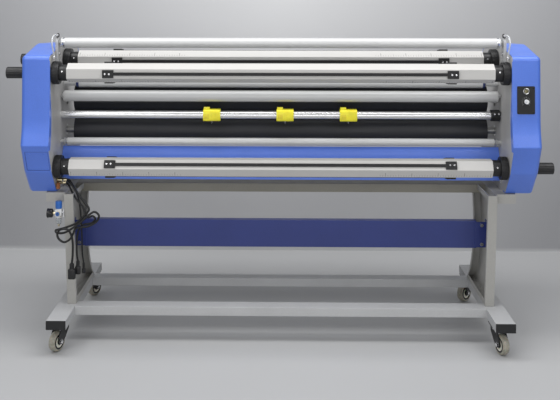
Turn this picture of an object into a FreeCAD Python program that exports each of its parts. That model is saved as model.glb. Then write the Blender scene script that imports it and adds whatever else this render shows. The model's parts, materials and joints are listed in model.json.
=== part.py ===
import FreeCAD, Part
import math
import os

# Cold roll laminator, millimetres.
# X runs along the rollers, -Y points to the output side, +Y to the operator, +Z up.
# The origin is on the floor under the centre of the machine.

os.makedirs("parts", exist_ok=True)

V = FreeCAD.Vector
LEFT = -1
RIGHT = 1

# ---------------------------------------------------------------- driving dimensions
SHELL = 3.0                 # wall of the side covers
LIP = 2.5                   # lip of a cover over the inner face of its side plate
PLATE_IN = 870.0            # inner face of a side plate
PLATE_OUT = 882.0           # outer face of a side plate
COVER_OUT = 976.0           # outer face of a side cover
COVER_ROUND = 16.0          # rounding of the cover's outer edge
KNOB_END = 1044.0           # outer end of a tension knob
PLATE_SETBACK = 4.0         # side plate edge inside the cover edge

FIT = 0.05                  # radial running clearance
SEAT = 0.02                 # gap between pieces that are pressed or bonded together

SUPPLY = (-49.0, 1083.5)    # film supply shaft axis, (y, z)
TAKEUP = (-250.0, 1050.0)   # liner take-up shaft axis
REWIND = (-215.0, 684.5)    # output rewind shaft axis
STRIP_ANGLES = (-8.0, -2.0, 26.5)   # how far a grip strip stands above the output side
SHAFT_HALF = 810.0          # half length of a core shaft
SHAFT_CORNER = 37.0         # hexagon circumradius, for a 3 inch core
SHAFT_BORE = 24.0
STRIP_WIDTH = 11.0
STRIP_HEIGHT = 5.0
BLOCK_IN = 630.0            # inner end of a strip's end block
BLOCK_OUT = 672.0
BLOCK_WIDTH = 30.0
BLOCK_HEIGHT = 8.0
HUB_RADIUS = 43.0
HUB_IN = 840.0
HUB_OUT = 867.0
ADAPTOR_RADIUS = 31.0       # core adaptor between a shaft and its hub
SPINDLE = 10.0
KNOB_RADIUS = 22.0

NIP_Z = 854.0               # top of the lower pinch roller
ROLL_RADIUS = 60.0
CORE_RADIUS = 52.0
ROLL_HALF = 831.0
NIP_GAP = 10.0              # opening between the rollers at rest
LOWER_Z = NIP_Z - ROLL_RADIUS
UPPER_Z = NIP_Z + ROLL_RADIUS + NIP_GAP
JOURNAL = 15.0
LIFT_DOWN = 10.0            # travel of the upper roller
LIFT_UP = 12.0

TOP_IDLER = (-183.0, 1160.0)
FILM_IDLER = (-60.0, 991.0)
GUIDE_TUBE = (-100.0, 943.0)
SLITTER = (-101.0, 869.0)
LOWER_IDLER = (-110.0, 764.0)
IDLER_PIN = 8.0
SLITTER_RADIUS = 16.0
CUTTERS = {"left_cutter": -270.0, "centre_cutter": 20.0, "right_cutter": 270.0}
CUTTER_WIDTH = 68.0
CUTTER_SIZE = 46.0

TABLE_HINGE = (300.0, 832.0)
TABLE_PIN = 6.0

RAIL_TOP = 580.0            # side plates stand on this level
RAIL_BOTTOM = 544.0
RAIL_OUT = 908.0
RAIL_NEAR = -197.0
RAIL_FAR = 150.0
BEAM_NEAR = -25.0
BEAM_FAR = 55.0
BEAM_BOTTOM = 546.0
LEG_IN = 796.0
LEG_OUT = 831.0
LEG_WALL = 4.0
LEG_LIP = 20.0              # lip around the open inner side of a leg
FOOT_OUT = 870.0
FOOT_TOP = 138.0
FOOT_BOTTOM = 104.0
FOOT_HALF = 350.0
FOOT_WALL = 3.0
CROSSBARS = ((-195.0, -133.0), (150.0, 204.0))
WHEEL_RADIUS = 37.5
WHEEL_WIDTH = 28.0
TRAIL = 28.0
CASTERS = {                 # name: (x, y, swivel angle)
    "rear_left": (-834.0, -256.0, -22.0),
    "rear_right": (826.0, -256.0, 16.0),
    "front_left": (-838.0, 310.0, 155.0),
    "front_right": (826.0, 310.0, -46.0),
}

MOTOR = (20.0, 690.0)       # gear motor output axis, (y, z)
SPROCKET_X = 953.0          # middle plane of the chain
CHAIN_PITCH = 12.7
ROLLER_TEETH = 22
MOTOR_TEETH = 14
CYLINDER_X = 902.0

SIDE_PROFILE = [            # (y, z, corner radius) around the machine's side
    (-95.0, 1151.0, 160.0),
    (-299.0, 1117.0, 18.0),
    (-304.0, 850.0, 250.0),
    (-322.0, 781.0, 8.0),
    (-266.0, 672.0, 60.0),
    (-184.0, 581.0, 10.0),
    (150.0, 581.0, 24.0),
    (236.0, 672.0, 60.0),
    (330.0, 838.0, 40.0),
    (330.0, 892.0, 30.0),
    (215.0, 1104.0, 50.0),
    (130.0, 1139.0, 40.0),
]
LIP_EDGE = [                # (y, z) where a cover's lip ends on the inner face of the side plate
    (-400.0, 1100.0),
    (-296.0, 1100.0),
    (-290.0, 1010.0),
    (-273.0, 890.0),
    (-276.0, 820.0),
    (-292.0, 762.0),
    (-400.0, 762.0),
]

REAR_PLATE_SPAN = ((-299.0, 1117.0), (-304.0, 850.0))
HATCH_SPAN = ((-322.0, 781.0), (-266.0, 672.0))
PANEL_SPAN = ((330.0, 892.0), (215.0, 1104.0))


# ---------------------------------------------------------------- helpers
def box(x0, x1, y0, y1, z0, z1):
    low = V(min(x0, x1), min(y0, y1), min(z0, z1))
    return Part.makeBox(abs(x1 - x0), abs(y1 - y0), abs(z1 - z0), low)


def rod_x(radius, x0, x1, axis):
    return Part.makeCylinder(radius, abs(x1 - x0), V(min(x0, x1), axis[0], axis[1]), V(1, 0, 0))


def rod_y(radius, y0, y1, x, z):
    return Part.makeCylinder(radius, y1 - y0, V(x, y0, z), V(0, 1, 0))


def rod_z(radius, z0, z1, x, y):
    return Part.makeCylinder(radius, z1 - z0, V(x, y, z0), V(0, 0, 1))


def fuse(first, *others):
    return first.multiFuse(list(others)).removeSplitter()


def group(*solids):
    return Part.makeCompound(list(solids))


def mirrored(shape):
    """The same piece on the other side of the machine."""
    return shape.mirror(V(0, 0, 0), V(1, 0, 0))


def on_side(shape, side):
    """A piece drawn for the right side, moved to the asked side."""
    return shape if side == RIGHT else mirrored(shape)


def rounded_wire(corners, x):
    """Closed outline in the plane of the given x, with every corner rounded by its own radius."""
    starts = []
    arcs = []
    for index, (y, z, radius) in enumerate(corners):
        here = V(x, y, z)
        before = V(x, *corners[index - 1][:2]) - here
        after = V(x, *corners[(index + 1) % len(corners)][:2]) - here
        before.normalize()
        after.normalize()
        half = before.getAngle(after) / 2
        middle = before + after
        middle.normalize()
        first = here + before * (radius / math.tan(half))
        last = here + after * (radius / math.tan(half))
        top = here + middle * (radius / math.sin(half) - radius)
        starts.append((first, last))
        arcs.append(Part.Arc(first, top, last).toShape())
    edges = []
    for index, arc in enumerate(arcs):
        edges.append(Part.makeLine(starts[index - 1][1], starts[index][0]))
        edges.append(arc)
    return Part.Wire(edges)


def prism(wire, x0, x1):
    """Solid between x0 and x1 from an outline drawn at x0."""
    return Part.Face(wire).extrude(V(x1 - x0, 0, 0))


def profile_prism(points, x0, x1):
    """Solid between x0 and x1 from straight (y, z) points."""
    ring = [V(x0, y, z) for y, z in points]
    return prism(Part.makePolygon(ring + ring[:1]), x0, x1)


def turned(shape, angle, axis):
    """A piece drawn with its face up at the origin, turned to an angle above the output side."""
    shape.rotate(V(0, 0, 0), V(1, 0, 0), 90 - angle)
    shape.translate(V(0, axis[0], axis[1]))
    return shape


def pipe(points, radius):
    """Round hose or cable through the points."""
    curve = Part.BSplineCurve()
    curve.interpolate([V(*point) for point in points])
    path = Part.Wire(curve.toShape())
    start = curve.value(curve.FirstParameter)
    direction = curve.tangent(curve.FirstParameter)[0]
    ring = Part.Wire(Part.makeCircle(radius, start, direction))
    return path.makePipeShell([ring], True, False)


def hexagon_head(across, height, base, direction):
    """Hexagon bolt head standing on a face."""
    ring = [V(across / math.sqrt(3) * math.cos(math.radians(60 * k)),
              across / math.sqrt(3) * math.sin(math.radians(60 * k)), 0) for k in range(6)]
    head = Part.Face(Part.makePolygon(ring + ring[:1])).extrude(V(0, 0, height))
    head.Placement = FreeCAD.Placement(V(*base), FreeCAD.Rotation(V(0, 0, 1), V(*direction)))
    return head


def sloped_frame(span, x, along=0.5):
    """Placement on a sloping cover face: z leaves the face, y climbs it."""
    (y0, z0), (y1, z1) = span
    top, bottom = ((y0, z0), (y1, z1)) if z0 > z1 else ((y1, z1), (y0, z0))
    climb = V(0, top[0] - bottom[0], top[1] - bottom[1])
    climb.normalize()
    outward = V(0, -climb.z, climb.y) if top[0] + bottom[0] < 0 else V(0, climb.z, -climb.y)
    across = climb.cross(outward)
    middle = V(x, bottom[0] + (top[0] - bottom[0]) * along, bottom[1] + (top[1] - bottom[1]) * along)
    return FreeCAD.Placement(middle, FreeCAD.Rotation(across, climb, outward, "ZXY"))


def placed(shape, placement):
    shape.Placement = placement
    return shape


def slab(width, height, z0, z1, radius=3.0):
    """Flat plate with rounded corners, centred on the origin."""
    plate = Part.makeBox(width, height, z1 - z0, V(-width / 2, -height / 2, z0))
    upright = [edge for edge in plate.Edges if abs(edge.tangentAt(edge.FirstParameter).z) > 0.9]
    return plate.makeFillet(radius, upright)


# ---------------------------------------------------------------- side covers and plates
REAR_PLATE_AT = sloped_frame(REAR_PLATE_SPAN, 918.0, 0.40)
HATCH_AT = sloped_frame(HATCH_SPAN, -917.0, 0.43)
PANEL_AT = sloped_frame(PANEL_SPAN, 922.0, 0.52)
SOCKET_UP = 34.0            # places on the rear control plate, up its face
REAR_KNOB_UP = -5.0
STOP_UP = 46.0              # places on the operator's panel, up its face
KEYS_UP = -62.0
DIAL_UP = -40.0


def cover_body(setback, x0, x1, rounding):
    """Solid block with the cover's outline and a rounded outer edge."""
    wire = rounded_wire(SIDE_PROFILE, x0)
    if setback:
        wire = wire.makeOffset2D(-setback)
    body = prism(wire, x0, x1)
    rim = [edge for edge in body.Edges if abs(edge.BoundBox.XMin - x1) < 0.01]
    return body.makeFillet(rounding, rim)


def cover_lip():
    """Inner lip of a cover that laps over the side plate along the bulge."""
    outline = prism(rounded_wire(SIDE_PROFILE, PLATE_IN - LIP), PLATE_IN - LIP, PLATE_IN)
    return outline.common(profile_prism(LIP_EDGE, PLATE_IN - LIP, PLATE_IN))


def cover(side):
    shell = cover_body(0, PLATE_IN, COVER_OUT, COVER_ROUND)
    shell = shell.cut(cover_body(SHELL, PLATE_IN, COVER_OUT - SHELL, COVER_ROUND - SHELL))
    shell = shell.cut(box(PLATE_IN, PLATE_OUT + 1, -145, 125, RAIL_TOP - 5, 600))
    shell = on_side(fuse(shell, cover_lip()), side)
    if side == LEFT:
        for axis in (SUPPLY, TAKEUP):
            shell = shell.cut(rod_x(6 + FIT, -COVER_OUT - 5, -COVER_OUT + 10, axis))
        return shell.cut(placed(slab(88, 88, -10, 10), HATCH_AT))
    shell = shell.cut(rod_x(6 + FIT, COVER_OUT - 10, COVER_OUT + 5, REWIND))
    shell = shell.cut(placed(slab(56, 84, -10, 10), REAR_PLATE_AT))
    return shell.cut(placed(slab(62, 150, -10, 10), PANEL_AT))


def cover_hatch():
    """Recessed lid of the left cover, with a flange behind the wall."""
    lid = fuse(slab(85, 85, -SHELL - 0.1, -1.2), slab(66, 94, -SHELL - 2, -SHELL - 0.1))
    return placed(lid, HATCH_AT)


def side_plate(side):
    wire = rounded_wire(SIDE_PROFILE, PLATE_IN).makeOffset2D(-PLATE_SETBACK)
    plate = prism(wire, PLATE_IN, PLATE_OUT)
    plate = plate.fuse(box(PLATE_IN, PLATE_OUT, -140, 120, RAIL_TOP, 610))
    holes = [rod_x(22 + SEAT, PLATE_IN - 1, PLATE_OUT + 1, axis) for axis in (SUPPLY, TAKEUP, REWIND)]
    holes.append(rod_x(22 + SEAT, PLATE_IN - 1, PLATE_OUT + 1, (0, LOWER_Z)))
    holes += [rod_x(IDLER_PIN + FIT, PLATE_IN - 1, PLATE_OUT + 1, axis)
              for axis in (FILM_IDLER, GUIDE_TUBE, LOWER_IDLER)]
    holes.append(rod_x(TABLE_PIN + FIT, PLATE_IN - 1, PLATE_OUT + 1, TABLE_HINGE))
    slot_low = UPPER_Z - 18 - LIFT_DOWN - 1
    slot_high = UPPER_Z + 18 + LIFT_UP + 1
    holes.append(box(PLATE_IN - 1, PLATE_OUT + 1, -17, 17, slot_low, slot_high))
    return on_side(plate.cut(group(*holes)), side)


# ---------------------------------------------------------------- stand
def leg_outline(inset, top):
    """Leg seen from the side: near edge leans, far edge waists in and flares to the foot."""
    near_top = V(0, -227 + inset, top)
    near_low = V(0, -168 + inset, FOOT_TOP + inset)
    far_low = V(0, 190 - 1.6 * inset, FOOT_TOP + inset)
    far_top = V(0, 84 - inset, top)
    flare = Part.BSplineCurve()
    flare.interpolate([far_low, V(0, 96 - inset, 250), V(0, 58 - inset, 425), V(0, 74 - inset, 530), far_top])
    return Part.Wire([Part.makeLine(near_top, near_low), Part.makeLine(near_low, far_low),
                      flare.toShape(), Part.makeLine(far_top, near_top)])


def leg_block(inset, top, x0, x1):
    """Solid with the leg's outline, between two x."""
    block = prism(leg_outline(inset, top), 0, x1 - x0)
    block.translate(V(x0, 0, 0))
    return block


def leg(side):
    """Channel leg that opens towards the middle, with the closed rail that carries the side plate."""
    body = leg_block(0, RAIL_TOP, LEG_IN, LEG_OUT)
    body = body.cut(leg_block(LEG_WALL, RAIL_TOP + 1, LEG_IN + LEG_WALL, LEG_OUT - LEG_WALL))
    body = body.cut(leg_block(LEG_LIP, RAIL_TOP - LEG_LIP, LEG_IN - 1, LEG_IN + LEG_WALL + 1))
    body = body.cut(box(LEG_IN - 1, LEG_IN + LEG_WALL + 1, BEAM_NEAR, BEAM_FAR, BEAM_BOTTOM, RAIL_TOP + 1))
    rail = box(LEG_OUT, RAIL_OUT, RAIL_NEAR, RAIL_FAR, RAIL_BOTTOM, RAIL_TOP)
    rail = rail.cut(box(LEG_OUT + 3, RAIL_OUT - 3, RAIL_NEAR + 3, RAIL_FAR - 3,
                        RAIL_BOTTOM + 3, RAIL_TOP - 3))
    return on_side(body.fuse(rail), side)


def base_frame():
    """Two feet and two crossbars of rectangular tube, welded."""
    feet = box(LEG_IN, FOOT_OUT, -FOOT_HALF + 3, FOOT_HALF - 3, FOOT_BOTTOM, FOOT_TOP)
    feet = feet.cut(box(LEG_IN + FOOT_WALL, FOOT_OUT - FOOT_WALL, -FOOT_HALF, FOOT_HALF,
                        FOOT_BOTTOM + FOOT_WALL, FOOT_TOP - FOOT_WALL))
    bars = []
    for y0, y1 in CROSSBARS:
        bar = box(-LEG_IN, LEG_IN, y0, y1, FOOT_BOTTOM, FOOT_TOP)
        bars.append(bar.cut(box(-LEG_IN, LEG_IN, y0 + FOOT_WALL, y1 - FOOT_WALL,
                                FOOT_BOTTOM + FOOT_WALL, FOOT_TOP - FOOT_WALL)))
    return fuse(feet, mirrored(feet), *bars)


def foot_end_caps():
    cap = fuse(box(LEG_IN, FOOT_OUT, -FOOT_HALF, -FOOT_HALF + 3, FOOT_BOTTOM, FOOT_TOP),
               box(LEG_IN + 3.2, FOOT_OUT - 3.2, -FOOT_HALF + 3, -FOOT_HALF + 15,
                   FOOT_BOTTOM + 3.2, FOOT_TOP - 3.2))
    far = cap.mirror(V(0, 0, 0), V(0, 1, 0))
    return group(cap, mirrored(cap), far, mirrored(far))


def main_beam():
    reach = LEG_OUT - LEG_WALL
    beam = box(-reach, reach, BEAM_NEAR, BEAM_FAR, BEAM_BOTTOM, RAIL_TOP)
    return beam.cut(box(-reach, reach, BEAM_NEAR + 3, BEAM_FAR - 3, BEAM_BOTTOM + 3, RAIL_TOP - 3))


def cross_panel():
    """Folded sheet between the legs, with a bracket at each end."""
    reach = LEG_OUT - LEG_WALL
    sheet = box(-780, 780, -86, -56, 341, 448).cut(box(-780, 780, -84, -55, 343, 446))
    end = box(772, reach, -89, -86, 344, 445)
    flange = box(reach - 3, reach, -86, -40, 344, 445)
    return fuse(sheet, end, flange, mirrored(end), mirrored(flange))


def rear_panel():
    """Blue sheet below the rollers, leaning back at its top."""
    t = 2.0
    outline = [(-72, 739), (-88, 708), (-88, 609), (-66, 609), (-66, 609 + t),
               (-88 + t, 609 + t), (-88 + t, 708 - 0.6), (-72 + t, 739 - 1)]
    sheet = profile_prism(outline, -PLATE_IN, PLATE_IN)
    tab = box(PLATE_IN - t, PLATE_IN, -88 + t, -56, 620, 705)
    return fuse(sheet, tab, mirrored(tab))


def caster_plates():
    plates = []
    for x, y, _ in CASTERS.values():
        plate = box(x - 31, x + 31, y - 31, y + 31, FOOT_BOTTOM - 4, FOOT_BOTTOM)
        plate = plate.fuse(rod_z(22, FOOT_BOTTOM - 9, FOOT_BOTTOM - 4, x, y))
        plates.append(plate.cut(rod_z(6 + FIT, FOOT_BOTTOM - 12, FOOT_BOTTOM + 1, x, y)))
    return group(*plates)


def fork(x, y, angle):
    """Caster fork drawn with the wheel trailing to -Y, then swivelled."""
    crown = rod_z(21, 85, 94, 0, 0)
    pin = rod_z(6, 94, FOOT_BOTTOM - 0.5, 0, 0)
    cheek_outline = [(24, 92), (24, 76), (2, 46), (-TRAIL + 10, 28), (-TRAIL - 10, 28),
                     (-TRAIL - 14, 38), (-TRAIL - 8, 66), (-26, 82), (-26, 92)]
    cheek = profile_prism(cheek_outline, 15.5, 19)
    axle = rod_x(5, -22, 22, (-TRAIL, WHEEL_RADIUS))
    nut = rod_x(8, 19, 25, (-TRAIL, WHEEL_RADIUS))
    bridge = box(-19, 19, -26, 24, 84, 92)
    shape = fuse(crown, pin, cheek, mirrored(cheek), axle, nut, mirrored(nut), bridge)
    shape.rotate(V(0, 0, 0), V(0, 0, 1), angle)
    shape.translate(V(x, y, 0))
    return shape


def wheel(x, y, angle):
    tread = rod_x(WHEEL_RADIUS, -WHEEL_WIDTH / 2, WHEEL_WIDTH / 2, (-TRAIL, WHEEL_RADIUS))
    tread = tread.makeFillet(5, [edge for edge in tread.Edges if edge.Closed])
    shape = tread.cut(rod_x(5 + FIT, -20, 20, (-TRAIL, WHEEL_RADIUS)))
    for x0 in (-WHEEL_WIDTH / 2 - 1, WHEEL_WIDTH / 2 - 3):
        ring = rod_x(27, x0, x0 + 4, (-TRAIL, WHEEL_RADIUS))
        shape = shape.cut(ring.cut(rod_x(11, x0, x0 + 4, (-TRAIL, WHEEL_RADIUS))))
    shape.rotate(V(0, 0, 0), V(0, 0, 1), angle)
    shape.translate(V(x, y, 0))
    return shape


# ---------------------------------------------------------------- core shafts
def core_shaft(axis, strip_angle):
    """Hexagonal aluminium tube with a groove for each grip strip."""
    ring = []
    for k in range(6):
        turn = math.radians(strip_angle + 30 + 60 * k)
        ring.append((axis[0] - SHAFT_CORNER * math.cos(turn), axis[1] + SHAFT_CORNER * math.sin(turn)))
    tube = profile_prism(ring, -SHAFT_HALF, SHAFT_HALF)
    tube = tube.cut(rod_x(SHAFT_BORE, -SHAFT_HALF, SHAFT_HALF, axis))
    flat = SHAFT_CORNER * math.cos(math.radians(30))
    for k in range(3):
        groove = box(-BLOCK_IN, BLOCK_IN, -STRIP_WIDTH / 2, STRIP_WIDTH / 2, flat - 2, flat + 1)
        tube = tube.cut(turned(groove, strip_angle + 120 * k, axis))
    return tube


def shaft_grips(axis, strip_angle):
    """Grip strips, their end blocks, and the two hubs with spindles."""
    flat = SHAFT_CORNER * math.cos(math.radians(30))
    solids = []
    for k in range(3):
        angle = strip_angle + 120 * k
        strip = box(-BLOCK_IN, BLOCK_IN, -STRIP_WIDTH / 2 + SEAT, STRIP_WIDTH / 2 - SEAT,
                    flat - 2 + SEAT, flat + STRIP_HEIGHT)
        solids.append(turned(strip, angle, axis))
        ends = [(BLOCK_IN + SEAT, flat), (BLOCK_OUT, flat), (BLOCK_OUT, flat + BLOCK_HEIGHT),
                (BLOCK_IN + 10, flat + BLOCK_HEIGHT), (BLOCK_IN + SEAT, flat + 5)]
        ring = [V(x, -BLOCK_WIDTH / 2, z) for x, z in ends]
        block = Part.Face(Part.makePolygon(ring + ring[:1])).extrude(V(0, BLOCK_WIDTH, 0))
        solids.append(turned(mirrored(block), angle, axis))
        solids.append(turned(block, angle, axis))
    hub = fuse(rod_x(SHAFT_BORE - SEAT, SHAFT_HALF - 40, HUB_IN, axis),
               rod_x(ADAPTOR_RADIUS, SHAFT_HALF + SEAT, HUB_IN, axis),
               rod_x(HUB_RADIUS, HUB_IN, HUB_OUT, axis), rod_x(SPINDLE, HUB_OUT, 892, axis))
    return group(*solids, hub, mirrored(hub))


def brake_knob(axis, side):
    """Tension knob with its stem and the friction disc inside the cover."""
    knob = rod_x(KNOB_RADIUS, COVER_OUT + 2, KNOB_END, axis)
    knob = knob.makeChamfer(2, [edge for edge in knob.Edges if edge.Closed])
    for k in range(12):
        turn = math.radians(30 * k)
        knob = knob.cut(rod_x(2.4, COVER_OUT + 14, KNOB_END + 1,
                              (axis[0] + (KNOB_RADIUS + 1) * math.cos(turn),
                               axis[1] + (KNOB_RADIUS + 1) * math.sin(turn))))
    stem = rod_x(6, 900, COVER_OUT + 2, axis)
    disc = rod_x(20, 894, 903, axis)
    return on_side(fuse(knob, stem, disc), side)


def bearing_housings():
    """Flanged bearing housings in the side plates for the shafts and the lower roller."""
    solids = []
    for axis, bore in ((SUPPLY, SPINDLE), (TAKEUP, SPINDLE), (REWIND, SPINDLE), ((0, LOWER_Z), JOURNAL)):
        housing = rod_x(22, PLATE_IN + 0.5, PLATE_OUT, axis).fuse(rod_x(28, PLATE_OUT, PLATE_OUT + 8, axis))
        housing = housing.cut(rod_x(bore + FIT, PLATE_IN, PLATE_OUT + 9, axis))
        solids += [housing, mirrored(housing)]
    return group(*solids)


# ---------------------------------------------------------------- rollers and idlers
def roller_core(z, journal_left, journal_right):
    """Steel tube with end discs and journals."""
    axis = (0, z)
    tube = rod_x(CORE_RADIUS, -ROLL_HALF, ROLL_HALF, axis)
    tube = tube.cut(rod_x(CORE_RADIUS - 6, -ROLL_HALF + 14, ROLL_HALF - 14, axis))
    return fuse(tube, rod_x(JOURNAL, -journal_left, -ROLL_HALF, axis),
                rod_x(JOURNAL, ROLL_HALF, journal_right, axis))


def roller_sleeve(z):
    """Rubber cover bonded on a roller core."""
    sleeve = rod_x(ROLL_RADIUS, -ROLL_HALF, ROLL_HALF, (0, z))
    return sleeve.cut(rod_x(CORE_RADIUS + SEAT, -ROLL_HALF, ROLL_HALF, (0, z)))


def sprocket(teeth, axis, bore):
    """Toothed disc for the drive chain."""
    pitch_radius = CHAIN_PITCH / (2 * math.sin(math.pi / teeth))
    ring = []
    for k in range(teeth):
        for share, height in ((-0.30, -3.6), (-0.10, 3.0), (0.10, 3.0), (0.30, -3.6)):
            turn = 2 * math.pi * (k + share) / teeth
            reach = pitch_radius + height
            ring.append((axis[0] + reach * math.cos(turn), axis[1] + reach * math.sin(turn)))
    disc = profile_prism(ring, SPROCKET_X - 3, SPROCKET_X + 3)
    return disc.cut(rod_x(bore, SPROCKET_X - 4, SPROCKET_X + 4, axis))


def lower_roller_core():
    core = roller_core(LOWER_Z, 895, 964)
    return core.fuse(sprocket(ROLLER_TEETH, (0, LOWER_Z), JOURNAL - 1))


def motor_sprocket():
    shaft = rod_x(9, 926, 964, MOTOR)
    return shaft.fuse(sprocket(MOTOR_TEETH, MOTOR, 8))


def chain_region(offset, x0, x1):
    """Solid inside a loop around both sprockets, at an offset from their pitch circles."""
    circles = []
    for axis, teeth in (((0, LOWER_Z), ROLLER_TEETH), (MOTOR, MOTOR_TEETH)):
        circles.append((V(x0, *axis), CHAIN_PITCH / (2 * math.sin(math.pi / teeth)) + offset))
    (big, big_radius), (small, small_radius) = circles
    line = small - big
    lean = math.asin((big_radius - small_radius) / line.Length)
    line.normalize()
    normal = V(0, -line.z, line.y)
    corners = []
    for sign in (1, -1):
        tangent = normal * (sign * math.cos(lean)) + line * math.sin(lean)
        corners.append((big + tangent * big_radius, small + tangent * small_radius))
    ring = [corners[0][0], corners[0][1], corners[1][1], corners[1][0]]
    web = prism(Part.makePolygon(ring + ring[:1]), x0, x1)
    ends = [rod_x(radius, x0, x1, (centre.y, centre.z)) for centre, radius in circles]
    return fuse(web, *ends)


def drive_chain():
    outer = chain_region(9.5, SPROCKET_X - 5, SPROCKET_X + 5)
    return outer.cut(chain_region(3.5, SPROCKET_X - 6, SPROCKET_X + 6))


def gear_motor():
    """Worm gearbox on the right side plate with the motor lying behind it."""
    y, z = MOTOR
    gearbox = box(PLATE_OUT, 944, y - 35, y + 35, z - 35, z + 35)
    motor = rod_y(32, y + 35, y + 150, PLATE_OUT + 32, z)
    boss = rod_x(20, 944, 947, MOTOR)
    return fuse(gearbox, motor, boss).cut(rod_x(9 + FIT, 924, 948, MOTOR))


def lift_carriage():
    """Bearing blocks of the upper roller, with the piston rods that carry them."""
    block = box(884, 920, -30, 30, UPPER_Z - 30, UPPER_Z + 30)
    tongue = box(PLATE_IN + 1, 884, -17 + FIT, 17 - FIT, UPPER_Z - 18, UPPER_Z + 18)
    block = block.fuse(tongue).cut(rod_x(JOURNAL + FIT, PLATE_IN, 921, (0, UPPER_Z)))
    rod = rod_z(8, UPPER_Z + 30, 1010, CYLINDER_X, 0)
    piston = rod_z(16 - FIT, 1010, 1022, CYLINDER_X, 0)
    carriage = fuse(block, rod, piston)
    return group(carriage, mirrored(carriage))


def lift_cylinders():
    """Air cylinders on the side plates above the bearing blocks."""
    body = box(PLATE_OUT, 922, -22, 22, 985, 1063)
    body = body.cut(rod_z(16, 995, 1053, CYLINDER_X, 0))
    body = body.cut(rod_z(8 + FIT, 980, 996, CYLINDER_X, 0))
    return group(body, mirrored(body))


def idler(axis, radius, half, neck, pin_end):
    """Round tube with stepped ends that turn in the side plates."""
    tube = rod_x(radius, -half, half, axis)
    tube = tube.makeChamfer(1.5, [edge for edge in tube.Edges if edge.Closed])
    ends = []
    for side in (LEFT, RIGHT):
        if neck:
            ends.append(rod_x(neck, side * half, side * (PLATE_IN - 1), axis))
        ends.append(rod_x(IDLER_PIN, side * half, side * pin_end, axis))
    return fuse(tube, *ends)


def idler_brackets():
    """Arms on the side plates that hold the top idler above the covers."""
    y, z = TOP_IDLER
    arm = box(860, PLATE_IN, y - 20, y + 20, 1062, z)
    arm = arm.fuse(rod_x(20, 860, PLATE_IN, TOP_IDLER)).removeSplitter()
    arm = arm.cut(rod_x(IDLER_PIN + FIT, 859, PLATE_IN + 1, TOP_IDLER))
    return group(arm, mirrored(arm))


def slitter_bar():
    bar = rod_x(SLITTER_RADIUS, -PLATE_IN, PLATE_IN, SLITTER)
    clamp = rod_x(21, 832, 866, SLITTER).cut(rod_x(SLITTER_RADIUS + SEAT, 831, 867, SLITTER))
    return group(bar, clamp)


def cutter(x):
    """Blade holder that slides on the slitter bar, with its locking tab and blade."""
    y, z = SLITTER
    half = CUTTER_WIDTH / 2
    body = box(x - half, x + half, y - CUTTER_SIZE / 2 - 4, y + CUTTER_SIZE / 2, z - 23, z + 23)
    body = body.makeFillet(5, [edge for edge in body.Edges if edge.Length > CUTTER_WIDTH - 1])
    tab = box(x - half + 2, x - half + 24, y - 16, y + 4, z + 23, z + 31)
    blade = box(x - 0.6, x + 0.6, y - 12, y + 12, z - 33, z - 23)
    holder = fuse(body, tab, blade)
    return holder.cut(rod_x(SLITTER_RADIUS + FIT, x - half - 1, x + half + 1, SLITTER))


def feed_table():
    """Operator's table, folded down at its edges, on two hinge pins."""
    table = box(-860, 860, 75, 322, 818, 845).cut(box(-858, 858, 77, 320, 817, 843))
    pins = [rod_x(TABLE_PIN, side * 858, side * 880, TABLE_HINGE) for side in (LEFT, RIGHT)]
    bosses = [rod_x(10, side * 850, side * 867, TABLE_HINGE) for side in (LEFT, RIGHT)]
    return fuse(table, *pins, *bosses)


# ---------------------------------------------------------------- controls, air and power
def rear_control_plate():
    """Black plate with a round cable socket and the collar of the small knob."""
    plate = fuse(slab(66, 104, 0.1, 2.5, 4), slab(54, 82, -9, 0.1, 3))
    socket = Part.makeCylinder(11.5, 5, V(0, SOCKET_UP, 2.5))
    collar = Part.makeCylinder(11, 2.5, V(0, REAR_KNOB_UP, 2.5))
    plate = fuse(plate, socket, collar)
    plate = plate.cut(Part.makeCylinder(8, 12, V(0, SOCKET_UP, -4.5)))
    plate = plate.cut(Part.makeCylinder(4 + FIT, 20, V(0, REAR_KNOB_UP, -12)))
    return placed(plate, REAR_PLATE_AT)


def rear_knob():
    cap = Part.makeCylinder(8, 12, V(0, REAR_KNOB_UP, 5.5))
    stem = Part.makeCylinder(4, 12, V(0, REAR_KNOB_UP, -6))
    return placed(fuse(cap, stem), REAR_PLATE_AT)


def front_control_panel():
    """Operator's panel on the right cover, with the display and the switch collars."""
    panel = fuse(slab(74, 164, 0.1, 4, 4), slab(60, 148, -14, 0.1, 3))
    collar = Part.makeCylinder(17, 4, V(0, STOP_UP, 4))
    dial_seat = Part.makeCylinder(17, 1.5, V(0, DIAL_UP, 4))
    display = Part.makeBox(46, 20, 2, V(-23, -6, 4))
    keys = [Part.makeCylinder(8, 3, V(x, KEYS_UP, 4)) for x in (-18, 18)]
    panel = fuse(panel, collar, dial_seat, display, *keys)
    panel = panel.cut(Part.makeCylinder(6 + FIT, 30, V(0, STOP_UP, -15)))
    panel = panel.cut(Part.makeCylinder(4 + FIT, 30, V(0, DIAL_UP, -15)))
    return placed(panel, PANEL_AT)


def emergency_stop_button():
    head = Part.makeCylinder(19, 10, V(0, STOP_UP, 14))
    head = head.makeFillet(4, [edge for edge in head.Edges if edge.Closed and edge.BoundBox.ZMax > 23])
    stem = Part.makeCylinder(6, 24, V(0, STOP_UP, -10))
    return placed(fuse(head, stem), PANEL_AT)


def speed_dial():
    cap = Part.makeCylinder(13, 14, V(0, DIAL_UP, 6))
    stem = Part.makeCylinder(4, 14, V(0, DIAL_UP, -8))
    pointer = Part.makeBox(2, 9, 1.5, V(-1, DIAL_UP + 2, 19.5))
    return placed(fuse(cap, stem, pointer), PANEL_AT)


REGULATOR = (-853.0, -217.0)        # filter regulator axis, (x, y)


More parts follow.
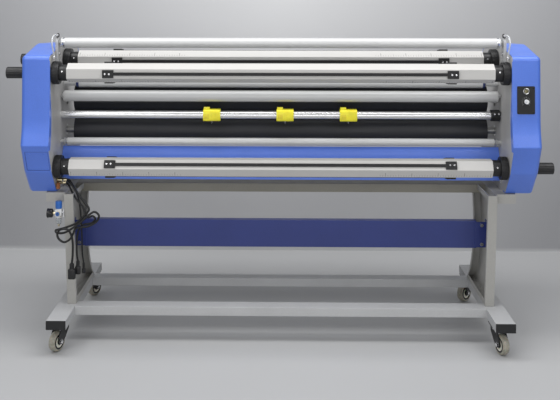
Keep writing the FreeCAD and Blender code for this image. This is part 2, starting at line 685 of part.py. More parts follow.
def filter_regulator():
    """Air filter regulator with its bowl, ports, gauge and bracket on the left leg."""
    x, y = REGULATOR
    body = box(x - 13, x + 13, y - 13, y + 13, 494, 520)
    collar = rod_z(12, 520, 523, x, y)
    bowl = rod_z(11, 462, 494, x, y)
    drain = rod_z(4, 454, 462, x, y)
    port = rod_y(8, y - 25, y - 13, x, 507)
    stem = rod_x(5, x - 22, x - 13, (y, 505))
    gauge = rod_x(18, x - 44, x - 22, (y, 505))
    arm = box(x + 13, -LEG_OUT, y - 8, y + 8, 500, 514)
    unit = fuse(body, collar, bowl, drain, port, stem, gauge, arm)
    unit = unit.cut(rod_y(4.1, y - 26, y - 9, x, 507))
    return unit.cut(rod_z(3 + FIT, 510, 524, x, y))


def regulator_knob():
    x, y = REGULATOR
    knob = rod_z(12, 524, 551, x, y)
    return fuse(knob, rod_z(3, 512, 524, x, y))


def air_hoses():
    """Hose loops from an elbow on each side plate up and over to the end of the idler arm."""
    elbow = box(855, PLATE_IN, -262, -250, 1103, 1115)
    hose = pipe([(862, -256, 1116), (864, -270, 1140), (866, -277, 1166), (866, -262, 1187),
                 (865, -232, 1194), (865, -203, 1190)], 3)
    saddle = box(861, 869, -196, -170, 1172, 1194).cut(rod_x(20 + SEAT, 860, 870, TOP_IDLER))
    fitting = rod_y(5, -203, -192, 865, 1190).fuse(saddle)
    unit = fuse(elbow, rod_z(4.5, 1115, 1117, 862, -256), hose, fitting)
    return group(unit, mirrored(unit))


def power_cables():
    """Two black cables that leave a gland on the left plate, hang beside the leg and end in plugs."""
    solids = [rod_x(13, -PLATE_IN, -PLATE_IN + 8, (-178, 640))]
    for near in (-190, -176):
        run = pipe([(-856, near, 640), (-836, near - 14, 618), (-806, near - 30, 606),
                    (-780, near - 44, 560), (-772, near - 47, 500), (-784, near - 48, 420),
                    (-796, near - 48, 300)], 4)
        solids.append(fuse(run, box(-809, -783, near - 53, near - 43, 256, 318)))
    return group(*solids)


def frame_bolts():
    """Hexagon bolts that hold the plates, brackets and panels."""
    heads = []
    for side in (LEFT, RIGHT):
        for z in (1078, 1120):
            heads.append(hexagon_head(13, 5, (side * 860, TOP_IDLER[0], z), (-side, 0, 0)))
        for z in (357, 432):
            heads.append(hexagon_head(13, 5, (side * 800, -89, z), (0, -1, 0)))
        for y in (-120, 100):
            heads.append(hexagon_head(16, 7, (side * PLATE_IN, y, 615), (-side, 0, 0)))
        for z in (640, 690):
            heads.append(hexagon_head(10, 4, (side * (PLATE_IN - 2), -70, z), (-side, 0, 0)))
    return group(*heads)


# ---------------------------------------------------------------- all pieces
def all_pieces():
    pieces = {
        "left_side_plate": side_plate(LEFT),
        "right_side_plate": side_plate(RIGHT),
        "left_cover": cover(LEFT),
        "right_cover": cover(RIGHT),
        "cover_hatch": cover_hatch(),
        "rear_control_plate": rear_control_plate(),
        "front_control_panel": front_control_panel(),
        "left_leg": leg(LEFT),
        "right_leg": leg(RIGHT),
        "base_frame": base_frame(),
        "main_beam": main_beam(),
        "cross_panel": cross_panel(),
        "rear_panel": rear_panel(),
        "foot_end_caps": foot_end_caps(),
        "caster_plates": caster_plates(),
        "slitter_bar": slitter_bar(),
        "idler_brackets": idler_brackets(),
        "bearing_housings": bearing_housings(),
        "lift_cylinders": lift_cylinders(),
        "gear_motor": gear_motor(),
        "drive_chain": drive_chain(),
        "filter_regulator": filter_regulator(),
        "air_hoses": air_hoses(),
        "power_cables": power_cables(),
        "frame_bolts": frame_bolts(),
        "lift_carriage": lift_carriage(),
        "upper_roller_core": roller_core(UPPER_Z, 918, 918),
        "upper_roller_sleeve": roller_sleeve(UPPER_Z),
        "lower_roller_core": lower_roller_core(),
        "lower_roller_sleeve": roller_sleeve(LOWER_Z),
        "motor_sprocket": motor_sprocket(),
        "top_idler": idler(TOP_IDLER, 20, 850, 0, 869),
        "film_idler": idler(FILM_IDLER, 19, 815, 12, 880),
        "guide_tube": idler(GUIDE_TUBE, 22, 860, 0, 880),
        "lower_idler": idler(LOWER_IDLER, 15, 854, 0, 880),
        "supply_brake_knob": brake_knob(SUPPLY, LEFT),
        "takeup_brake_knob": brake_knob(TAKEUP, LEFT),
        "rewind_brake_knob": brake_knob(REWIND, RIGHT),
        "feed_table": feed_table(),
        "rear_knob": rear_knob(),
        "emergency_stop_button": emergency_stop_button(),
        "speed_dial": speed_dial(),
        "regulator_knob": regulator_knob(),
    }
    for name, axis, angle in zip(("supply", "takeup", "rewind"), (SUPPLY, TAKEUP, REWIND), STRIP_ANGLES):
        pieces[name + "_shaft"] = core_shaft(axis, angle)
        pieces[name + "_shaft_grips"] = shaft_grips(axis, angle)
    for name, x in CUTTERS.items():
        pieces[name] = cutter(x)
    for name, spot in CASTERS.items():
        pieces[name + "_caster_fork"] = fork(*spot)
        pieces[name + "_caster_wheel"] = wheel(*spot)
    return pieces


for name, shape in all_pieces().items():
    shape.exportStep("parts/" + name + ".step")
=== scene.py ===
import json
import math

import bmesh
import bpy
from mathutils import Matrix, Vector


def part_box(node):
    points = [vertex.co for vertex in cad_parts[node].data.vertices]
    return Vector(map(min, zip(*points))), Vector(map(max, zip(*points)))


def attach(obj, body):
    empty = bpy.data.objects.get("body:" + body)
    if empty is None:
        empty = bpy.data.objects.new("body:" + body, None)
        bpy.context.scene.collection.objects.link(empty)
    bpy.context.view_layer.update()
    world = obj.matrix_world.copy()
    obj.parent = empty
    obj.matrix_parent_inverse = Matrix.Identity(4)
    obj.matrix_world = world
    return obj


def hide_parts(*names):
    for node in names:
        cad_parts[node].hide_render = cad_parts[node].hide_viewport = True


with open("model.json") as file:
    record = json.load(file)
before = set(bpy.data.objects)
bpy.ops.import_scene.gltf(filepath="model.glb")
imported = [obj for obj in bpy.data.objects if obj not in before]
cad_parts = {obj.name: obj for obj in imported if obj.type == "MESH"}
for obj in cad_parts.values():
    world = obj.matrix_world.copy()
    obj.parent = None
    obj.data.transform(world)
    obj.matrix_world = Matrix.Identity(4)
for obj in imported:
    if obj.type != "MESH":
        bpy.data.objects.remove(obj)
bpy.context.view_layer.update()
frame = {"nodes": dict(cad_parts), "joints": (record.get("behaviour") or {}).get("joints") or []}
JOINT = {joint["name"]: joint for joint in frame["joints"]}
MM = 0.001
LEFT, RIGHT = -1, 1
TO_VIEWER = (0.0, -1.0, 0.0)          # from the machine towards its output side


# ---------------------------------------------------------------- materials
def tinted(colour, factor):
    return tuple(min(1.0, channel * factor) for channel in colour)


class Surface:
    """A procedural material: its shader, and short ways to add and join nodes."""

    def __init__(self):
        self.material = bpy.data.materials.new("surface")
        self.material.use_nodes = True
        self.tree = self.material.node_tree
        self.shader = self.tree.nodes["Principled BSDF"]
        self.place = self.node("TexCoord").outputs["Object"]

    def node(self, kind):
        return self.tree.nodes.new("ShaderNode" + kind)

    def put(self, value, socket):
        """Gives an input a plain value or another node's output."""
        if isinstance(value, bpy.types.NodeSocket):
            self.tree.links.new(value, socket)
        else:
            socket.default_value = value

    def set(self, inputs):
        for name, value in inputs.items():
            self.put(value, self.shader.inputs[name])

    def stretched(self, factors):
        """Object coordinates stretched along the axes."""
        mapping = self.node("Mapping")
        mapping.inputs["Scale"].default_value = factors
        self.put(self.place, mapping.inputs["Vector"])
        return mapping.outputs["Vector"]

    def noise(self, scale, detail=3.0, rough=0.55, stretch=None):
        texture = self.node("TexNoise")
        for name, value in (("Scale", scale), ("Detail", detail), ("Roughness", rough)):
            texture.inputs[name].default_value = value
        self.put(self.stretched(stretch) if stretch else self.place, texture.inputs["Vector"])
        return texture.outputs["Fac"]

    def spread(self, value, low, high, from_low=0.3, from_high=0.7):
        """Value moved from one range to another."""
        ranged = self.node("MapRange")
        limits = (("From Min", from_low), ("From Max", from_high), ("To Min", low), ("To Max", high))
        for name, limit in limits:
            ranged.inputs[name].default_value = limit
        self.put(value, ranged.inputs["Value"])
        return ranged.outputs["Result"]

    def mixed(self, share, first, second):
        """Colour between two colours; each may be a plain colour or another node's output."""
        mix = self.node("Mix")
        mix.data_type = "RGBA"
        self.put(share, mix.inputs[0])
        for socket, colour in ((mix.inputs[6], first), (mix.inputs[7], second)):
            self.put((*colour, 1.0) if isinstance(colour, tuple) else colour, socket)
        return mix.outputs[2]

    def shaded(self, value, share, first, second):
        """Colour that leans from the first to the second, up to a share, where the value is high."""
        return self.mixed(self.spread(value, 0.0, share), first, second)

    def edge_wear_and_highlight(self, tone, radius, share, wear_and_highlight_tone):
        """Colour that leans to a lighter one on sharp edges: partly edge wear, partly a painted highlight.
        """
        bevel = self.node("Bevel")
        bevel.samples = 4
        bevel.inputs["Radius"].default_value = radius
        dot = self.node("VectorMath")
        dot.operation = "DOT_PRODUCT"
        self.put(bevel.outputs["Normal"], dot.inputs[0])
        self.put(self.node("NewGeometry").outputs["Normal"], dot.inputs[1])
        # edges turn lighter: partly wear, partly a painted highlight
        return self.mixed(self.spread(dot.outputs["Value"], share, 0.0, 0.86, 0.985), tone, wear_and_highlight_tone)

    def bumped(self, distance, *heights):
        """Chains pairs of height and strength into the shader's normal."""
        normal = None
        for height, strength in heights:
            bump = self.node("Bump")
            bump.inputs["Strength"].default_value = strength
            bump.inputs["Distance"].default_value = distance
            self.put(height, bump.inputs["Height"])
            if normal is not None:
                self.put(normal, bump.inputs["Normal"])
            normal = bump.outputs["Normal"]
        self.put(normal, self.shader.inputs["Normal"])


def painted(colour, rough, grain=900.0, grain_strength=0.12, coat=0.0, wear_and_highlight=0.35):
    """Powder coat or enamel: fine texture, cloudy tone, slightly lighter edges that are partly wear and
    partly a painted highlight.
    """
    surface = Surface()
    tone = surface.shaded(surface.noise(5.0), 1.0, tinted(colour, 0.93), tinted(colour, 1.06))
    tone = surface.shaded(surface.noise(260.0, 2.0), 0.16, tone, tinted(colour, 1.5))
    surface.set({
        # lighter edges: partly wear, partly a painted highlight
        "Base Color": surface.edge_wear_and_highlight(tone, 0.0012, wear_and_highlight, tinted(colour, 1.9)),
        "Roughness": surface.spread(surface.noise(14.0, 4.0), rough - 0.06, rough + 0.07),
        "Coat Weight": coat, "Coat Roughness": 0.18,
    })
    fine, coarse = surface.noise(grain, 2.0), surface.noise(grain / 5, 1.0)
    surface.bumped(0.0003, (fine, grain_strength), (coarse, grain_strength * 0.6))
    return surface.material


def metal(colour, rough, stretch, lines=0.12, scale=14.0, tone=0.07):
    """Machined, drawn or turned metal; its tool lines run along the axis with the least stretch."""
    surface = Surface()
    streak = surface.noise(scale, 4.0, 0.7, stretch)
    shade = surface.shaded(surface.noise(6.0), 1.0, tinted(colour, 1 - tone), tinted(colour, 1 + tone))
    surface.set({
        "Base Color": surface.shaded(streak, 0.5, shade, tinted(colour, 0.82)),
        "Metallic": 1.0, "Roughness": surface.spread(streak, rough - 0.07, rough + 0.1),
    })
    surface.bumped(0.0002, (streak, lines))
    return surface.material


def anodised(colour, rough, stretch, sheen):
    """Anodised or polished metal: a satin skin with faint drawing lines and a soft highlight."""
    surface = Surface()
    streak = surface.noise(12.0, 4.0, 0.7, stretch)
    shade = surface.shaded(surface.noise(4.0), 1.0, tinted(colour, 0.97), tinted(colour, 1.03))
    surface.set({
        "Base Color": surface.shaded(streak, 0.3, shade, tinted(colour, 0.9)),
        "Metallic": sheen, "Roughness": surface.spread(streak, rough - 0.05, rough + 0.08),
    })
    surface.bumped(0.0002, (streak, 0.08))
    return surface.material


def moulded(colour, rough, grain=700.0, grain_strength=0.15, glow=0.0):
    """Moulded plastic: fine texture, faint tone changes, paler edges that are partly wear and partly a
    painted highlight, optional light under its skin.
    """
    surface = Surface()
    tone = surface.shaded(surface.noise(22.0), 1.0, tinted(colour, 0.9), tinted(colour, 1.08))
    pale = tuple(channel * 0.7 + 0.06 for channel in colour)
    surface.set({
        # paler edges: partly wear, partly a painted highlight
        "Base Color": surface.edge_wear_and_highlight(tone, 0.0008, 0.3, pale),
        "Roughness": surface.spread(surface.noise(60.0, 4.0), rough - 0.07, rough + 0.08),
        "Subsurface Weight": glow, "Subsurface Scale": 0.003,
    })
    surface.bumped(0.0002, (surface.noise(grain, 2.0), grain_strength))
    return surface.material


def ground_rubber(colour):
    """Roller rubber with fine grinding rings around the axis."""
    surface = Surface()
    rings = surface.noise(1.0, 3.0, 0.7, (900.0, 6.0, 6.0))
    cloud = surface.noise(2.0, stretch=(3.0, 12.0, 12.0))
    tone = surface.shaded(rings, 1.0, tinted(colour, 0.8), tinted(colour, 1.35))
    surface.set({
        "Base Color": surface.shaded(cloud, 0.5, tone, tinted(colour, 1.6)),
        "Roughness": surface.spread(cloud, 0.42, 0.58),
    })
    surface.bumped(0.0002, (rings, 0.25), (surface.noise(1500.0, 1.0), 0.12))
    return surface.material


def soft_tyre(colour):
    """Translucent polyurethane with scuffs from the floor."""
    surface = Surface()
    scuff = surface.noise(90.0, 5.0, 0.7)
    scuffed = surface.spread(scuff, 0.0, 1.0, 0.35, 0.65)
    surface.set({
        "Base Color": surface.mixed(scuffed, colour, tinted(colour, 0.62)),
        "Roughness": surface.spread(scuff, 0.3, 0.6),
        "Subsurface Weight": 0.12, "Subsurface Scale": 0.003,
    })
    surface.bumped(0.0004, (scuff, 0.3))
    return surface.material


def clear_tube(colour, rough, through):
    """Milky hose, bowl or lens."""
    surface = Surface()
    cloud = surface.noise(120.0)
    surface.set({
        "Base Color": surface.shaded(cloud, 1.0, tinted(colour, 0.93), colour),
        "Roughness": surface.spread(cloud, rough, rough + 0.1),
        "Transmission Weight": through, "IOR": 1.45,
    })
    return surface.material


MAT = {
    "cover_blue": painted((0.082, 0.182, 0.66), 0.36, 420.0, 0.10, coat=0.25, wear_and_highlight=0.25),
    # painted light: the rear panel's blue is brighter than the covers' to make up for the shade it stands in
    "panel_blue": painted((0.14, 0.27, 0.92), 0.38, 520.0, 0.12, coat=0.15),
    "panel_navy": painted((0.019, 0.034, 0.175), 0.42, 520.0, 0.12, coat=0.1),
    "stand_grey": painted((0.43, 0.435, 0.44), 0.44, 1100.0, 0.30),
    "leg_grey": painted((0.38, 0.375, 0.355), 0.46, 1100.0, 0.30),
    "plate_grey": painted((0.43, 0.425, 0.42), 0.48, 1100.0, 0.28),
    "beam_grey": painted((0.27, 0.255, 0.205), 0.48, 1100.0, 0.28),
    "table_grey": painted((0.55, 0.56, 0.57), 0.38, 800.0, 0.10),
    "black_enamel": painted((0.007, 0.007, 0.008), 0.34, 600.0, 0.10, coat=0.15),
    "motor_enamel": painted((0.085, 0.09, 0.10), 0.42, 700.0, 0.25),
    "shaft_aluminium": anodised((0.58, 0.572, 0.555), 0.55, (2.0, 60.0, 60.0), 0.15),
    "idler_aluminium": anodised((0.62, 0.625, 0.625), 0.44, (0.05, 40.0, 40.0), 0.3),
    "bar_chrome": metal((0.74, 0.76, 0.79), 0.16, (40.0, 2.0, 2.0), 0.05, 9.0),
    "bar_steel": anodised((0.84, 0.84, 0.85), 0.24, (0.05, 40.0, 40.0), 0.9),
    "cast_silver": painted((0.62, 0.63, 0.64), 0.32, 500.0, 0.15),
    "core_steel": metal((0.55, 0.55, 0.54), 0.34, (200.0, 4.0, 4.0), 0.15, 6.0),
    "machined_steel": metal((0.60, 0.60, 0.60), 0.3, (160.0, 6.0, 6.0), 0.15, 6.0),
    "cylinder_aluminium": metal((0.68, 0.69, 0.70), 0.36, (4.0, 4.0, 60.0), 0.12, 9.0),
    "chain_steel": metal((0.30, 0.285, 0.26), 0.4, (30.0, 30.0, 30.0), 0.2, 20.0),
    "plated_brass": metal((0.75, 0.66, 0.44), 0.26, (30.0, 30.0, 200.0), 0.08, 6.0),
    "screw_steel": metal((0.72, 0.72, 0.73), 0.24, (300.0, 300.0, 300.0), 0.1, 3.0),
    "dark_blue_cap": moulded((0.02, 0.035, 0.13), 0.4),
    "black_plastic": moulded((0.0065, 0.0065, 0.0075), 0.44, 900.0, 0.25),
    "black_gloss": moulded((0.006, 0.006, 0.007), 0.22, 500.0, 0.05),
    "cutter_yellow": moulded((0.92, 0.83, 0.035), 0.34, 600.0, 0.08, glow=0.06),
    "cutter_shade": moulded((0.80, 0.68, 0.035), 0.45, 600.0, 0.10, glow=0.04),
    "cream_plastic": moulded((0.86, 0.84, 0.72), 0.42, 500.0, 0.12, glow=0.05),
    "socket_olive": moulded((0.16, 0.145, 0.07), 0.4, 500.0, 0.12),
    "orange_plastic": moulded((0.30, 0.10, 0.025), 0.4, 500.0, 0.12),
    "pale_plastic": moulded((0.76, 0.77, 0.78), 0.3, 500.0, 0.06, glow=0.04),
    "stop_red": moulded((0.62, 0.012, 0.012), 0.26, 400.0, 0.05, glow=0.05),
    "lamp_green": moulded((0.02, 0.42, 0.10), 0.2, 400.0, 0.04, glow=0.1),
    "knob_blue": moulded((0.03, 0.15, 0.52), 0.32, 500.0, 0.1),
    "cable_black": moulded((0.005, 0.005, 0.0055), 0.5, 1200.0, 0.3),
    "print_black": moulded((0.02, 0.02, 0.02), 0.6, 600.0, 0.05),
    "seam_dark": moulded((0.03, 0.06, 0.25), 0.6, 500.0, 0.1),
    "print_white": moulded((0.80, 0.80, 0.78), 0.5, 600.0, 0.05),
    "roller_rubber": ground_rubber((0.011, 0.012, 0.016)),
    "caster_tyre": soft_tyre((0.42, 0.40, 0.33)),
    "hose_white": clear_tube((0.88, 0.90, 0.91), 0.12, 0.45),
    "bowl_clear": clear_tube((0.85, 0.88, 0.90), 0.05, 0.75),
    "display_glass": clear_tube((0.05, 0.08, 0.06), 0.08, 0.1),
}
for finish, material in MAT.items():
    material.name = finish

NODE_FINISH = (             # (material, edge rounding in mm, CAD nodes)
    ("plate_grey", 0.8, "left_side_plate right_side_plate"),
    ("cover_blue", 0.8, "left_cover right_cover"),
    ("cover_blue", 0.6, "cover_hatch"),
    ("black_plastic", 0.5, "rear_control_plate front_control_panel"),
    ("leg_grey", 1.0, "left_leg right_leg"),
    ("stand_grey", 1.5, "base_frame"),
    ("beam_grey", 1.5, "main_beam"),
    ("panel_navy", 0.8, "cross_panel"),
    ("panel_blue", 0.8, "rear_panel"),
    ("black_plastic", 1.2, "foot_end_caps"),
    ("black_enamel", 0.8, "caster_plates"),
    ("bar_steel", 0.6, "slitter_bar"),
    ("stand_grey", 1.0, "idler_brackets"),
    ("machined_steel", 0.8, "bearing_housings lift_carriage"),
    ("cylinder_aluminium", 1.0, "lift_cylinders"),
    ("motor_enamel", 1.5, "gear_motor"),
    ("chain_steel", 0.0, "drive_chain"),
    ("screw_steel", 0.4, "frame_bolts"),
    ("core_steel", 0.8, "upper_roller_core"),
    ("roller_rubber", 1.2, "upper_roller_sleeve lower_roller_sleeve"),
    ("core_steel", 0.5, "lower_roller_core"),
    ("machined_steel", 0.3, "motor_sprocket"),
    ("shaft_aluminium", 0.8, "supply_shaft takeup_shaft rewind_shaft"),
    ("black_plastic", 0.8,
     "supply_shaft_grips takeup_shaft_grips rewind_shaft_grips supply_brake_knob "
     "takeup_brake_knob rewind_brake_knob"),
    ("idler_aluminium", 0.0, "top_idler film_idler guide_tube lower_idler"),
    ("table_grey", 0.8, "feed_table"),
    ("pale_plastic", 0.6, "rear_knob"),
    ("stop_red", 0.6, "emergency_stop_button"),
    ("black_gloss", 0.6, "speed_dial"),
    ("knob_blue", 0.8, "regulator_knob"),
)
CORNERS = ("rear_left", "rear_right", "front_left", "front_right")


def dress_node(node, finish, rounding):
    """Gives a CAD node its material, smooth shading and small rounded edges."""
    piece = frame["nodes"][node]
    piece.data.materials.clear()
    piece.data.materials.append(MAT[finish])
    if piece.data.attributes.get("custom_normal"):
        piece.data.attributes.remove(piece.data.attributes["custom_normal"])
    for polygon in piece.data.polygons:
        polygon.use_smooth = True
    weld = piece.modifiers.new("weld", "WELD")
    weld.merge_threshold = 1e-5
    if rounding:
        bevel = piece.modifiers.new("edges", "BEVEL")
        bevel.width = rounding * MM
        bevel.segments = 2
        bevel.limit_method = "ANGLE"
        bevel.angle_limit = math.radians(40)
        bevel.use_clamp_overlap = True
    normals = piece.modifiers.new("normals", "WEIGHTED_NORMAL")
    normals.keep_sharp = True


for finish, rounding, nodes in NODE_FINISH:
    for node in nodes.split():
        dress_node(node, finish, rounding)
for corner in CORNERS:
    dress_node(corner + "_caster_fork", "black_enamel", 0.8)


# ---------------------------------------------------------------- mesh tools
def at(x, y, z):
    return Matrix.Translation((x, y, z))


def spun(angle):
    return Matrix.Rotation(angle, 4, "Z")


def new_object(name, data):
    made = bpy.data.objects.new(name, data)
    bpy.context.scene.collection.objects.link(made)
    return made


def facing(direction, place, up=(0.0, 0.0, 1.0)):
    """Matrix at a place whose z runs along a direction and whose y leans towards up."""
    z = Vector(direction).normalized()
    lean = Vector(up) if abs(Vector(up).normalized().dot(z)) < 0.99 else Vector((0.0, 1.0, 0.0))
    x = lean.cross(z).normalized()
    y = z.cross(x)
    turn = Matrix((x, y, z)).transposed().to_4x4()
    return Matrix.Translation(Vector(place)) @ turn


class Mesh:
    """Collects turned, block and free shapes in one mesh."""

    def __init__(self):
        self.bm = bmesh.new()

    def add(self, verts, faces, place):
        made = [self.bm.verts.new(place @ Vector(v)) for v in verts]
        for face in faces:
            self.bm.faces.new([made[i] for i in face])

    def lathe(self, profile, place, segments=32, phase=0.0):
        """Turns (radius, height) points around the place's z; a ring when both ends are off the axis."""
        if profile[0][0] and profile[-1][0]:
            profile = [*profile, profile[0]]
        rings = []
        verts = []
        for radius, height in profile:
            count = 1 if radius == 0 else segments
            ring = []
            for k in range(count):
                angle = 2 * math.pi * (k + phase) / segments
                ring.append(len(verts))
                verts.append((radius * math.cos(angle), radius * math.sin(angle), height))
            rings.append(ring)
        faces = []
        for low, high in zip(rings, rings[1:]):
            for k in range(segments):
                a, b = low[k % len(low)], low[(k + 1) % len(low)]
                c, d = high[(k + 1) % len(high)], high[k % len(high)]
                corners = [a, b, c, d]
                unique = [v for i, v in enumerate(corners) if v not in corners[:i]]
                if len(unique) > 2:
                    faces.append(unique)
        self.add(verts, faces, place)

    def block(self, size, place, rounding=0.0):
        """Box centred on the place, with rounded edges."""
        box = bmesh.new()
        bmesh.ops.create_cube(box, size=1.0)
        bmesh.ops.scale(box, vec=Vector(size), verts=box.verts)
        if rounding:
            edges = list(box.edges)
            bmesh.ops.bevel(box, geom=edges, offset=rounding, segments=3, profile=0.5, affect="EDGES")
        box.transform(place)
        copy = bpy.data.meshes.new("block")
        box.to_mesh(copy)
        box.free()
        self.bm.from_mesh(copy)
        bpy.data.meshes.remove(copy)

    def piece(self, name, finish, body="root", slot=None):
        """Finished object with its material, riding on a body."""
        bmesh.ops.recalc_face_normals(self.bm, faces=self.bm.faces)
        data = bpy.data.meshes.new(name)
        self.bm.to_mesh(data)
        self.bm.free()
        made = new_object(name, data)
        data.materials.append(MAT[finish])
        for polygon in data.polygons:
            polygon.use_smooth = True
        data.set_sharp_from_angle(angle=math.radians(35))
        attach(made, body)
        return made


def rod(radius, low, high):
    """Profile of a plain bar between two heights."""
    return [(0.0, low), (radius, low), (radius, high), (0.0, high)]


def dome(radius, height, base):
    """Profile of a low dome above a base height, from its rim to its centre."""
    points = []
    for k in range(5):
        angle = math.pi / 2 * k / 5
        points.append((radius * math.cos(angle), height * math.sin(angle) + base))
    return [*points, (0.0, height + base)]


def socket_screw(mesh, place, radius, height):
    """Round head screw with a hexagon socket, standing on a face."""
    hole = radius * 0.55
    foot = -0.2 * height
    mesh.lathe([(0.0, foot), (radius * 0.9, foot), (radius, 0.1 * height), (radius, 0.75 * height),
                (radius * 0.86, height), (hole, height), (hole * 0.96, 0.4 * height),
                (0.0, 0.35 * height)], place, 18)


def ring_of_ribs(mesh, place, radius, count, span, size):
    """Grip ribs around the place's z, between two heights; size is (outward, sideways)."""
    low, high = span
    for k in range(count):
        turn = spun(2 * math.pi * k / count)
        rib = turn @ at(radius, 0.0, (low + high) / 2)
        mesh.block((*size, high - low), place @ rib, min(size) * 0.28)


def through(points):
    """Smooth run of points that passes through every given one."""
    ends = [2 * points[0] - points[1], *points, 2 * points[-1] - points[-2]]
    run = []
    steps = 8
    for before, start, stop, after in zip(ends, ends[1:], ends[2:], ends[3:]):
        bend = 2 * before - 5 * start + 4 * stop - after
        twist = 3 * start - before - 3 * stop + after
        for k in range(steps):
            t = k / steps
            run.append(0.5 * (2 * start + (stop - before) * t + bend * t ** 2 + twist * t ** 3))
    return [*run, points[-1]]


def cable(name, points, radius, finish):
    """Round cable or hose that passes smoothly through the points."""
    curve = bpy.data.curves.new(name, "CURVE")
    curve.dimensions = "3D"
    curve.bevel_depth = radius
    curve.bevel_resolution = 4
    curve.use_fill_caps = True
    run = through([Vector(point) for point in points])
    spline = curve.splines.new("POLY")
    spline.points.add(len(run) - 1)
    for knot, point in zip(spline.points, run):
        knot.co = (*point, 1.0)
    made = new_object(name, curve)
    curve.materials.append(MAT[finish])
    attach(made, "root")
    return made


# ---------------------------------------------------------------- core shafts
SHAFTS = {                  # shaft: (grip strip angle above the output side, angle of the printed face)
    "supply": (-8.0, 52.0), "takeup": (-2.0, 298.0), "rewind": (26.5, 326.5),
}
FLAT = 0.037 * math.cos(math.radians(30))       # from a shaft's axis to its flats
SCALE_END = 0.802           # places along a shaft, from the machine's middle
STRIP_SCREWS = (-0.662, -0.646, 0.646, 0.662)
HUB_SCREWS = (-0.826, 0.826)
HUB_RIBS = 0.843


def around(joint, angle, reach, x):
    """Point and outward direction at an angle above the output side of an axis along X."""
    y, z = JOINT[joint]["pos_m"][1:]
    turn = math.radians(angle)
    out = Vector((0.0, -math.cos(turn), math.sin(turn)))
    return Vector((x, y, z)) + out * reach, out


def shaft_scale(shaft, angle):
    """Printed centimetre scale at both ends of one flat of a core shaft."""
    marks = Mesh()
    for side in (LEFT, RIGHT):
        for step in range(43):
            x = SCALE_END - step * 0.01
            length, width = (0.018, 0.0011) if step % 10 == 0 else (0.007, 0.0006)
            if step % 5 == 0 and step % 10:
                length = 0.011
            point, out = around(shaft + "_shaft_spin", angle, FLAT + 0.00005, side * x)
            place = facing(out, point, up=(1.0, 0.0, 0.0))
            marks.block((length, width, 0.0002), place @ at(0.014 - length / 2, 0.0, 0.0))
    marks.piece(shaft + "_shaft_scale", "print_black", shaft + "_shaft")


def screw_rows(shaft, kind, angle, places, reach, radius, height):
    """Screws at the given places along a shaft, on three of its sides."""
    screws = Mesh()
    for k in range(3):
        for x in places:
            point, out = around(shaft + "_shaft_spin", angle + 120 * k, reach, x)
            socket_screw(screws, facing(out, point), radius, height)
    screws.piece(f"{shaft}_{kind}_screws", "screw_steel", shaft + "_shaft", slot="bolt_steel")


def hub_knurls(shaft):
    """Ribbed grip rings on the hubs at both ends of a core shaft."""
    rings = Mesh()
    y, z = JOINT[shaft + "_shaft_spin"]["pos_m"][1:]
    for side in (LEFT, RIGHT):
        place = facing((side, 0.0, 0.0), (side * HUB_RIBS, y, z))
        ring_of_ribs(rings, place, 0.0427, 48, (0.0, 0.0215), (0.0026, 0.0032))
    rings.piece(shaft + "_hub_ribs", "black_plastic", shaft + "_shaft", slot="grip_black")


for shaft_name, (strip_angle, scale_angle) in SHAFTS.items():
    shaft_scale(shaft_name, scale_angle)
    screw_rows(shaft_name, "strip", strip_angle, STRIP_SCREWS, FLAT + 0.008, 0.0036, 0.0022)
    hub_knurls(shaft_name)
    screw_rows(shaft_name, "hub", 14.0, HUB_SCREWS, 0.0305, 0.0032, 0.0024)


# ---------------------------------------------------------------- idlers
def idler_caps(idler, joint, radius, half, finish):
    """Turned end caps on an idler tube."""
    y, z = JOINT[joint]["pos_m"][1:]
    caps = Mesh()
    for side in (LEFT, RIGHT):
        place = facing((side, 0.0, 0.0), (side * half, y, z))
        caps.lathe([(0.0, -0.003), (radius * 0.9, -0.003), (radius * 1.01, -0.002),
                    (radius * 1.01, 0.006), (radius * 0.93, 0.009), (radius * 0.55, 0.010),
                    (radius * 0.5, 0.012), (0.0, 0.012)], place, 40)
    caps.piece(idler + "_end_caps", finish, idler)


idler_caps("film_idler", "film_idler_spin", 0.019, 0.809, "dark_blue_cap")
idler_caps("top_idler", "top_idler_spin", 0.0199, 0.838, "bar_chrome")
idler_caps("lower_idler", "lower_idler_spin", 0.0149, 0.845, "bar_chrome")
idler_caps("guide_tube", "guide_tube_spin", 0.0219, 0.851, "idler_aluminium")


# ---------------------------------------------------------------- cutters
bar_low, bar_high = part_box("slitter_bar")
BAR_Y, BAR_Z = (bar_low + bar_high).yz / 2
HOLDER_HALF = 0.034         # half the length of a cutter's holder
HOLDER_BORE = 0.01606
HOLDER_SIDES = 33


def holder_body(place):
    """Bored sleeve with a rounded square outline, slightly smaller at both ends."""
    outline, bore = [], []
    for k in range(HOLDER_SIDES):
        angle = 2 * math.pi * k / HOLDER_SIDES
        c, s = math.cos(angle), math.sin(angle)
        wide = math.copysign(abs(c) ** 0.42, c) * 0.0255 - 0.001
        tall = math.copysign(abs(s) ** 0.42, s) * 0.0235
        outline.append((wide, tall))
        bore.append((HOLDER_BORE * c, HOLDER_BORE * s))
    inset = HOLDER_HALF - 0.002
    stations = ((-HOLDER_HALF, 0.93), (-inset, 1.0), (inset, 1.0), (HOLDER_HALF, 0.93))
    rings = [[(x, y * size, z * size) for y, z in outline] for x, size in stations]
    rings += [[(x, y, z) for y, z in bore] for x in (HOLDER_HALF, -HOLDER_HALF)]
    faces = []
    for row in range(len(rings)):
        here, there = row * HOLDER_SIDES, (row + 1) % len(rings) * HOLDER_SIDES
        for k in range(HOLDER_SIDES):
            n = (k + 1) % HOLDER_SIDES
            faces.append((here + k, here + n, there + n, there + k))
    body = Mesh()
    body.add([point for ring in rings for point in ring], faces, place)
    return body


